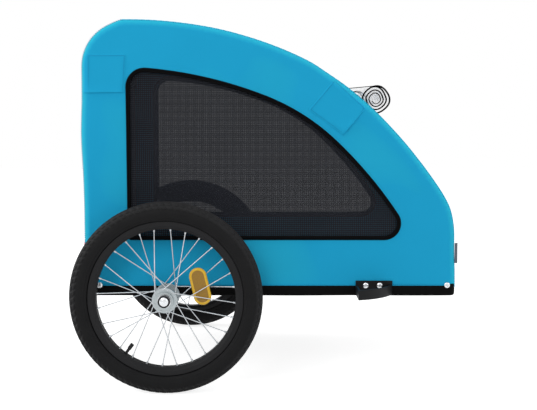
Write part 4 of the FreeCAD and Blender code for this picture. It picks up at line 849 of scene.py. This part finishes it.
def axes(tree, vector, names):
    """The named numbers of a place."""
    outputs = add(tree, "ShaderNodeSeparateXYZ", {"Vector": vector}).outputs
    return [outputs[name] for name in names]


def noise(tree, vector, scale, detail):
    """Cloudy noise about a half."""
    return add(tree, "ShaderNodeTexNoise", {"Vector": vector, "Scale": scale, "Detail": detail}).outputs["Fac"]


def ribs(tree, run, pitch):
    """Ribs as a sine from 0 to 1."""
    wave = maths(tree, "SINE", maths(tree, "MULTIPLY", run, 2 * math.pi / pitch))
    return maths(tree, "MULTIPLY_ADD", wave, 0.5, 0.5)


def falling(tree, value, low, high):
    """1 up to a low value and 0 from a high one, straight between them."""
    sockets = {"Value": value, "From Min": low, "From Max": high, "To Min": 1.0, "To Max": 0.0}
    return add(tree, "ShaderNodeMapRange", sockets).outputs[0]


def tinted(tree, share, first, second):
    """A colour this share of the way between two, each in sRGB hex or another node's output."""
    first, second = (linear(colour) if isinstance(colour, str) else colour for colour in (first, second))
    sockets = {"Factor": share, "A": first, "B": second}
    return add(tree, "ShaderNodeMix", sockets, data_type="RGBA").outputs["Result"]


def bumped(tree, height, strength, distance):
    """A shallow relief."""
    sockets = {"Height": height, "Strength": strength, "Distance": distance}
    return add(tree, "ShaderNodeBump", sockets).outputs["Normal"]


def new_finish(name):
    """An empty material and its tree of nodes."""
    made = bpy.data.materials.new(name)
    made.use_nodes = True
    made.node_tree.nodes.clear()
    return made, made.node_tree


def finished(made, sockets):
    """Ends a material in one Principled shader."""
    shader = add(made.node_tree, "ShaderNodeBsdfPrincipled", sockets)
    add(made.node_tree, "ShaderNodeOutputMaterial", {"Surface": shader.outputs[0]})
    return made


def woven_polyester(name, light, dark, thread_mm, relief, sheen=0.02, edge_highlight=None):
    """Plain woven polyester with a coated back: threads over and under on a checker, each cell a small hump.

    The eye sees a soft even matt colour with a fine grain and slow cloudy patches. The real threads are 0.4 mm,
    too fine to show, so they are drawn coarser. Along the seams of the two sides, where the cloth rounds over
    the frame tubes, it pales to a painted highlight colour that stands for the light those rounded edges catch.
    """
    made, tree = new_finish(name)
    source = add(tree, "ShaderNodeTexCoord").outputs
    cells = scaled(tree, source["UV"], 1000 / thread_mm)
    humps = [maths(tree, "MULTIPLY", axis, math.pi) for axis in axes(tree, cells, "XY")]
    humps = [maths(tree, "ABSOLUTE", maths(tree, "SINE", wave)) for wave in humps]
    over = add(tree, "ShaderNodeTexChecker", {"Vector": cells, "Scale": 1.0}).outputs["Fac"]
    hump = add(tree, "ShaderNodeMix", {"Factor": over, "A": humps[0], "B": humps[1]}).outputs["Result"]
    slub = noise(tree, cells, 0.35, 2.0)
    shade = maths(tree, "MULTIPLY_ADD", hump, 0.45, 0.05)
    shade = maths(tree, "MULTIPLY_ADD", noise(tree, source["UV"], 9.0, 4.0), 0.40, shade)
    shade = maths(tree, "MULTIPLY_ADD", slub, 0.20, shade, clamp=True)
    colour = tinted(tree, shade, dark, light)
    # Painted highlight: near the seams of the two sides the colour pales to a lighter one, standing for light
    # caught where the cloth rounds over the frame tubes.
    if edge_highlight:
        seam = SIDE_Y - EDGE_OUT * (1 - math.sin(EDGE_SEAM))
        out = maths(tree, "ABSOLUTE", axes(tree, source["Object"], "Y")[0])
        highlight_share = falling(tree, maths(tree, "ABSOLUTE", maths(tree, "SUBTRACT", out, seam)), 0.0, 0.0058)
        colour = tinted(tree, maths(tree, "POWER", highlight_share, 0.5), colour, edge_highlight)
    return finished(made, {
        "Base Color": colour, "Roughness": maths(tree, "MULTIPLY_ADD", slub, 0.16, 0.70),
        "Normal": bumped(tree, hump, relief, thread_mm / 4000), "Specular IOR Level": 0.06,
        "Sheen Weight": sheen, "Sheen Roughness": 0.3, "Sheen Tint": linear("74fff0")})


def ribbed_tape(name, light, dark):
    """Woven binding tape: close ribs across its length, matt and nearly black."""
    made, tree = new_finish(name)
    uv = add(tree, "ShaderNodeTexCoord").outputs["UV"]
    level = ribs(tree, axes(tree, uv, "X")[0], 0.0016)
    shade = maths(tree, "MULTIPLY", level, noise(tree, uv, 60.0, 3.0))
    return finished(made, {
        "Base Color": tinted(tree, shade, dark, light), "Normal": bumped(tree, level, 0.4, 0.0003),
        "Roughness": 0.85, "Specular IOR Level": 0.06})


def knitted_net(name, light, dark, pitch_mm, gap):
    """Knitted polyester net: dark threads round small square gaps, so the far side shows through darkly.

    The real gaps are a millimetre wide, too fine to show, so each cell stands for nine: its threads let a
    little of the far side through and its gap holds some thread.
    """
    made, tree = new_finish(name)
    uv = add(tree, "ShaderNodeTexCoord").outputs["UV"]
    cells = scaled(tree, uv, 1000 / pitch_mm)
    shares = [maths(tree, "PINGPONG", axis, 0.5) for axis in axes(tree, cells, "XY")]
    threads = [maths(tree, "LESS_THAN", share, 0.5 - gap / 2) for share in shares]
    cover = maths(tree, "MULTIPLY_ADD", maths(tree, "MAXIMUM", *threads), 0.22, 0.71)
    return finished(made, {
        "Base Color": tinted(tree, noise(tree, uv, 14.0, 3.0), dark, light), "Alpha": cover,
        "Roughness": 0.8, "Specular IOR Level": 0.08})


def clear_vinyl(name):
    """Clear soft vinyl: glossy, nearly colourless, with milky clouds where it creases."""
    made, tree = new_finish(name)
    cloud = noise(tree, add(tree, "ShaderNodeTexCoord").outputs["UV"], 26.0, 4.0)
    return finished(made, {
        "Base Color": linear("dcdfe3"), "Alpha": maths(tree, "MULTIPLY_ADD", cloud, 0.24, 0.08),
        "Normal": bumped(tree, cloud, 0.25, 0.002), "Roughness": 0.16, "IOR": 1.53})


def grained(name, light, dark, grain_mm, roughness, metallic=0.0, relief=0.15, specular=0.5):
    """A moulded, painted or machined surface: two close colours broken up by a fine shallow grain."""
    made, tree = new_finish(name)
    place = add(tree, "ShaderNodeTexCoord").outputs["Object"]
    grain = noise(tree, place, 1000 / grain_mm, 3.0)
    shade = maths(tree, "MULTIPLY", grain, noise(tree, place, 17.0, 3.0))
    shade = maths(tree, "MULTIPLY", shade, 2.0, clamp=True)
    return finished(made, {
        "Base Color": tinted(tree, shade, dark, light), "Metallic": metallic, "Specular IOR Level": specular,
        "Roughness": maths(tree, "MULTIPLY_ADD", grain, 0.2, roughness - 0.1),
        "Normal": bumped(tree, grain, relief, grain_mm / 4000)})


def tyre_rubber(name, tread, wall, dark):
    """Tyre rubber: a matt black side wall, and a greyer tread in cloudy patches."""
    made, tree = new_finish(name)
    source = add(tree, "ShaderNodeTexCoord").outputs
    # The tread is coloured greyer than the side wall, in cloudy patches; the same clouds vary its roughness.
    tread_band = falling(tree, maths(tree, "ABSOLUTE", axes(tree, source["UV"], "Y")[0]), 0.021, 0.028)
    grain, tread_clouds = noise(tree, source["Object"], 900.0, 3.0), noise(tree, source["Object"], 40.0, 4.0)
    colour = tinted(tree, tread_band, tinted(tree, grain, dark, wall), tinted(tree, tread_clouds, wall, tread))
    return finished(made, {
        "Base Color": colour, "Roughness": maths(tree, "MULTIPLY_ADD", tread_clouds, 0.2, 0.55),
        "Normal": bumped(tree, grain, 0.25, 0.0003), "Specular IOR Level": 0.12})


def turned_aluminium(name, light, dark):
    """Turned and satin finished aluminium: fine lathe rings round the axle that catch the light in turn."""
    made, tree = new_finish(name)
    place = add(tree, "ShaderNodeTexCoord").outputs["Object"]
    away = place
    for operation, value in (("SUBTRACT", (AXLE_X, 0.0, WHEEL_Z)), ("MULTIPLY", (1.0, 0.0, 1.0))):
        away = add(tree, "ShaderNodeVectorMath", {0: away, 1: value}, operation=operation).outputs["Vector"]
    away = add(tree, "ShaderNodeVectorMath", {0: away}, operation="LENGTH").outputs["Value"]
    ring, grain = ribs(tree, away, 0.0011), noise(tree, place, 1200.0, 3.0)
    shade = maths(tree, "MULTIPLY_ADD", ring, 0.5, grain, clamp=True)
    return finished(made, {
        "Base Color": tinted(tree, shade, dark, light), "Metallic": 1.0,
        "Roughness": maths(tree, "MULTIPLY_ADD", grain, 0.16, 0.34),
        "Normal": bumped(tree, ring, 0.12, 0.0002)})


def prism_acrylic(name, border, light, dark, cell_mm):
    """Reflector acrylic: a plain glossy border round rows of small prisms that catch the light in turn."""
    made, tree = new_finish(name)
    source = add(tree, "ShaderNodeTexCoord").outputs
    sunk = maths(tree, "GREATER_THAN", axes(tree, source["UV"], "Y")[0], 0.5)
    sockets = {"Vector": source["Object"], "Scale": 1000 / cell_mm, "Randomness": 0.12}
    prism = add(tree, "ShaderNodeTexVoronoi", sockets).outputs["Distance"]
    shade = maths(tree, "MULTIPLY", prism, 1.3, clamp=True)
    return finished(made, {
        "Base Color": tinted(tree, sunk, border, tinted(tree, shade, light, dark)),
        "Normal": bumped(tree, prism, 0.4, cell_mm / 4000), "Roughness": 0.3, "Specular IOR Level": 0.3,
        "Coat Weight": 0.25, "Coat Roughness": 0.08})


# The last colour, 2ab4cf, is a painted highlight along the side seams.
COVER_BLUE = woven_polyester(
    "woven_polyester_blue", "21a8d6", "1998c5", 1.4, 0.35, sheen=0.35, edge_highlight="2ab4cf")
SKIRT_BLACK = woven_polyester("woven_polyester_black", "090909", "030304", 1.4, 0.35, sheen=0.0)
LABEL_GREY = woven_polyester("woven_label_grey", "6f727c", "565963", 0.8, 0.3)
TAPE_BLACK = ribbed_tape("ribbed_tape_black", "070708", "020203")
NET_BLACK = knitted_net("knitted_net_black", "26282e", "1d1f24", 4.1, 0.58)
VINYL_CLEAR = clear_vinyl("clear_soft_vinyl")
FRAME_GREY = grained("powder_coated_steel", "8a8d90", "707478", 1.2, 0.45, relief=0.2)
FLOOR_BOARD = grained("polypropylene_board", "2a2b2d", "1c1d1f", 2.0, 0.6, specular=0.25)
NYLON_BLACK = grained("moulded_nylon_black", "131416", "090a0b", 0.9, 0.45, relief=0.2, specular=0.15)
ZINC = grained("zinc_plated_steel", "e2e4e6", "b4b8bc", 1.5, 0.26, metallic=1.0, relief=0.05)
SPOKE_WIRE = grained("drawn_stainless_wire", "c4c7ca", "a4a8ac", 1.2, 0.35, metallic=1.0, relief=0.03)
HUB_ALLOY = turned_aluminium("turned_satin_aluminium", "a9b0b2", "868e91")
RIM_BLACK = grained("black_anodised_aluminium", "1d1d1f", "121213", 1.0, 0.42, relief=0.05, specular=0.16)
TYRE_BLACK = tyre_rubber("tyre_rubber", "29292a", "161617", "0d0d0e")
TUBE_BLACK = grained("butyl_rubber", "1d1d1e", "0f0f10", 1.0, 0.6, specular=0.25)
STEEL_BLACK = grained("blackened_steel", "26272a", "0f1012", 1.0, 0.35, metallic=0.8, relief=0.05)
AMBER = prism_acrylic("amber_acrylic", "dcae20", "b98a1c", "82600e", 2.2)
RED = prism_acrylic("red_acrylic", "d8202a", "b8161f", "6c080e", 2.2)
THREAD_BLUE = grained("polyester_thread_blue", "1f94c4", "1478a6", 0.6, 0.7, specular=0.1)
ZIP_BLUE = grained("moulded_zip_coil_blue", "1a86ae", "116888", 0.6, 0.5, specular=0.2)
THREAD_BLACK = grained("polyester_thread_black", "161719", "0a0b0c", 0.6, 0.7, specular=0.1)


def dress(piece, finish):
    """Gives a piece its one finish."""
    piece.data.materials.clear()
    piece.data.materials.append(finish)


# The pieces on the two sides
for side, hand in SIDES:
    dress(side_panel(side, hand), COVER_BLUE)
    dress(window_hem(side, hand), TAPE_BLACK)
    dress(window_tape(side, hand), TAPE_BLACK)
    dress(window_net(side, hand), NET_BLACK)
    dress(tab("rear_tab_", side, hand, REAR_TAB, "foot", 0.0024), COVER_BLUE)
    dress(tab("front_tab_", side, hand, front_tab(), "ahead", 0.0042), COVER_BLUE)
    dress(tyre(side, hand), TYRE_BLACK)
    dress(spoke_lens(side, hand), AMBER)
    dress(rear_lens(side, hand), RED)
    rows = [side_path(closed_line(window_loop(inset)), side, 0.0020) for inset in (0.0019, 0.0067)]
    dress(stitches("tape_stitches_" + hand, rows, "chassis"), THREAD_BLACK)
    foot = np.linspace([REAR_X + 0.02, FOOT_Z + 0.007], [FRONT_X - 0.02, FOOT_Z + 0.007], 200)
    rows = [side_path(tab_seam(corners), side, 0.0018) for corners in (REAR_TAB_SEWN, front_tab())]
    rows.append(side_path(foot, side, 0.0002))
    dress(stitches("side_stitches_" + hand, rows, "chassis"), THREAD_BLUE)
    rows = [edge_path(line, side) for line in (roof_line(), nose_line())]
    dress(stitches("edge_stitches_" + hand, rows, "chassis", 0.005, 0.0034, 0.0008), THREAD_BLUE)
    rows = [edge_path(door_line(), side, math.radians(14))]
    dress(stitches("zip_coil_" + hand, rows, "door", 0.0046, 0.0028, 0.0013), ZIP_BLUE)

# The pieces across the middle
dress(roof_cloth(), COVER_BLUE)
dress(door_cloth(), COVER_BLUE)
dress(front_cloth(), COVER_BLUE)
dress(front_net(), NET_BLACK)
dress(front_tape(), TAPE_BLACK)
dress(skirt(), SKIRT_BLACK)
dress(seam_tag(), LABEL_GREY)
dress(screw_heads(), ZINC)
vinyl, vinyl_tapes = clear_roll()
dress(vinyl, VINYL_CLEAR)
for tape in vinyl_tapes:
    dress(tape, TAPE_BLACK)

# Finishes of the rigid pieces
RIGID = {
    "base_rail": FRAME_GREY, "front_cross_tube": FRAME_GREY, "rear_cross_tube": FRAME_GREY,
    "axle_beam": FRAME_GREY, "side_arch": FRAME_GREY, "rear_crossbar": FRAME_GREY, "front_crossbar": FRAME_GREY,
    "drawbar_socket": FRAME_GREY, "floor_panel": FLOOR_BOARD, "crossbar_clips": NYLON_BLACK,
    "side_deflector": NYLON_BLACK, "spokes": SPOKE_WIRE, "nipples": SPOKE_WIRE, "hub_bearings": ZINC,
    "lock_balls": ZINC, "release_button": ZINC,
    "axle_pin": STEEL_BLACK, "zip_slider": STEEL_BLACK, "hub_shell": HUB_ALLOY, "rim": RIM_BLACK,
    "inner_tube": TUBE_BLACK, "valve": TUBE_BLACK,
}
for name, node in nodes.items():
    kind = name.removesuffix("_right").removesuffix("_left")
    if kind in RIGID:
        dress(node, RIGID[kind])


# Floor, light and camera

def seen_ray(tree):
    """1 for rays from the camera, also through clear pieces or by a reflection, and 0 for the other light."""
    path = add(tree, "ShaderNodeLightPath").outputs
    straight = maths(tree, "MAXIMUM", path["Is Camera Ray"], path["Is Transmission Ray"])
    return maths(tree, "MAXIMUM", straight, path["Is Glossy Ray"])


def floor():
    """A wide pale floor that shows white to the camera and keeps the object's soft shadow."""
    corners = np.array([(-8, -8, 0), (8, -8, 0), (8, 8, 0), (-8, 8, 0)], float)
    made = new_object("floor", corners, np.array([[0, 1, 2, 3]]))
    finish, tree = new_finish("studio_floor")
    pale = add(tree, "ShaderNodeBsdfDiffuse", {"Color": linear("c8c8c8")}).outputs[0]
    glow = add(tree, "ShaderNodeEmission", {"Color": (1, 1, 1, 1), "Strength": 0.78}).outputs[0]
    both = add(tree, "ShaderNodeAddShader", {0: pale, 1: glow}).outputs[0]
    shown = add(tree, "ShaderNodeMixShader", {0: seen_ray(tree), 1: pale, 2: both}).outputs[0]
    add(tree, "ShaderNodeOutputMaterial", {"Surface": shown})
    made.data.materials.append(finish)


def sky():
    """An even world that is white behind the object and softer where it lights it."""
    world = bpy.data.worlds.new("studio")
    bpy.context.scene.world = world
    world.use_nodes = True
    tree = world.node_tree
    tree.nodes.clear()
    soft = add(tree, "ShaderNodeBackground", {"Color": (1, 1, 1, 1), "Strength": 0.45}).outputs[0]
    white = add(tree, "ShaderNodeBackground", {"Color": (1, 1, 1, 1), "Strength": 1.0}).outputs[0]
    mixed = add(tree, "ShaderNodeMixShader", {0: seen_ray(tree), 1: soft, 2: white}).outputs[0]
    add(tree, "ShaderNodeOutputWorld", {"Surface": mixed})


def lamp(name, place, target, size, watts):
    """A soft square lamp aimed at a point."""
    light = bpy.data.lights.new(name, "AREA")
    light.size = size
    light.energy = watts
    made = bpy.data.objects.new(name, light)
    bpy.context.scene.collection.objects.link(made)
    way = np.array(target) - np.array(place)
    made.location = place
    flat = math.hypot(way[0], way[1])
    made.rotation_euler = (math.atan2(flat, -way[2]), 0, math.atan2(-way[0], way[1]) if flat > 1e-6 else 0)


def camera():
    """A level side view from a little above the middle, tilted down by five degrees."""
    sensor_mm, focal_points, picture_points = 36.0, 942.5, 537
    data = bpy.data.cameras.new("camera")
    data.sensor_fit = "HORIZONTAL"
    data.sensor_width = sensor_mm
    data.lens = focal_points / picture_points * sensor_mm
    data.clip_end = 50
    made = bpy.data.objects.new("camera", data)
    made.location = (AXLE_X + 0.2115, -2.2386, 0.5747)
    made.rotation_euler = (math.radians(90) - math.asin(0.0944), 0, 0)
    bpy.context.scene.collection.objects.link(made)
    bpy.context.scene.camera = made


floor()
sky()
lamp("key", (-1.2, -3.0, 2.1), (0.0, 0.0, 0.4), 1.5, 32)
lamp("fill", (1.8, -2.6, 1.4), (0.1, 0.0, 0.4), 2.2, 15)
lamp("top", (0.2, 0.2, 3.0), (0.1, 0.0, 0.5), 2.4, 36)
lamp("rear", (-2.4, -0.3, 1.1), (-0.3, 0.0, 0.5), 1.5, 27)
lamp("front", (2.4, -0.3, 1.1), (0.3, 0.0, 0.5), 1.5, 16)
camera()
bpy.context.scene.view_settings.view_transform = "Standard"
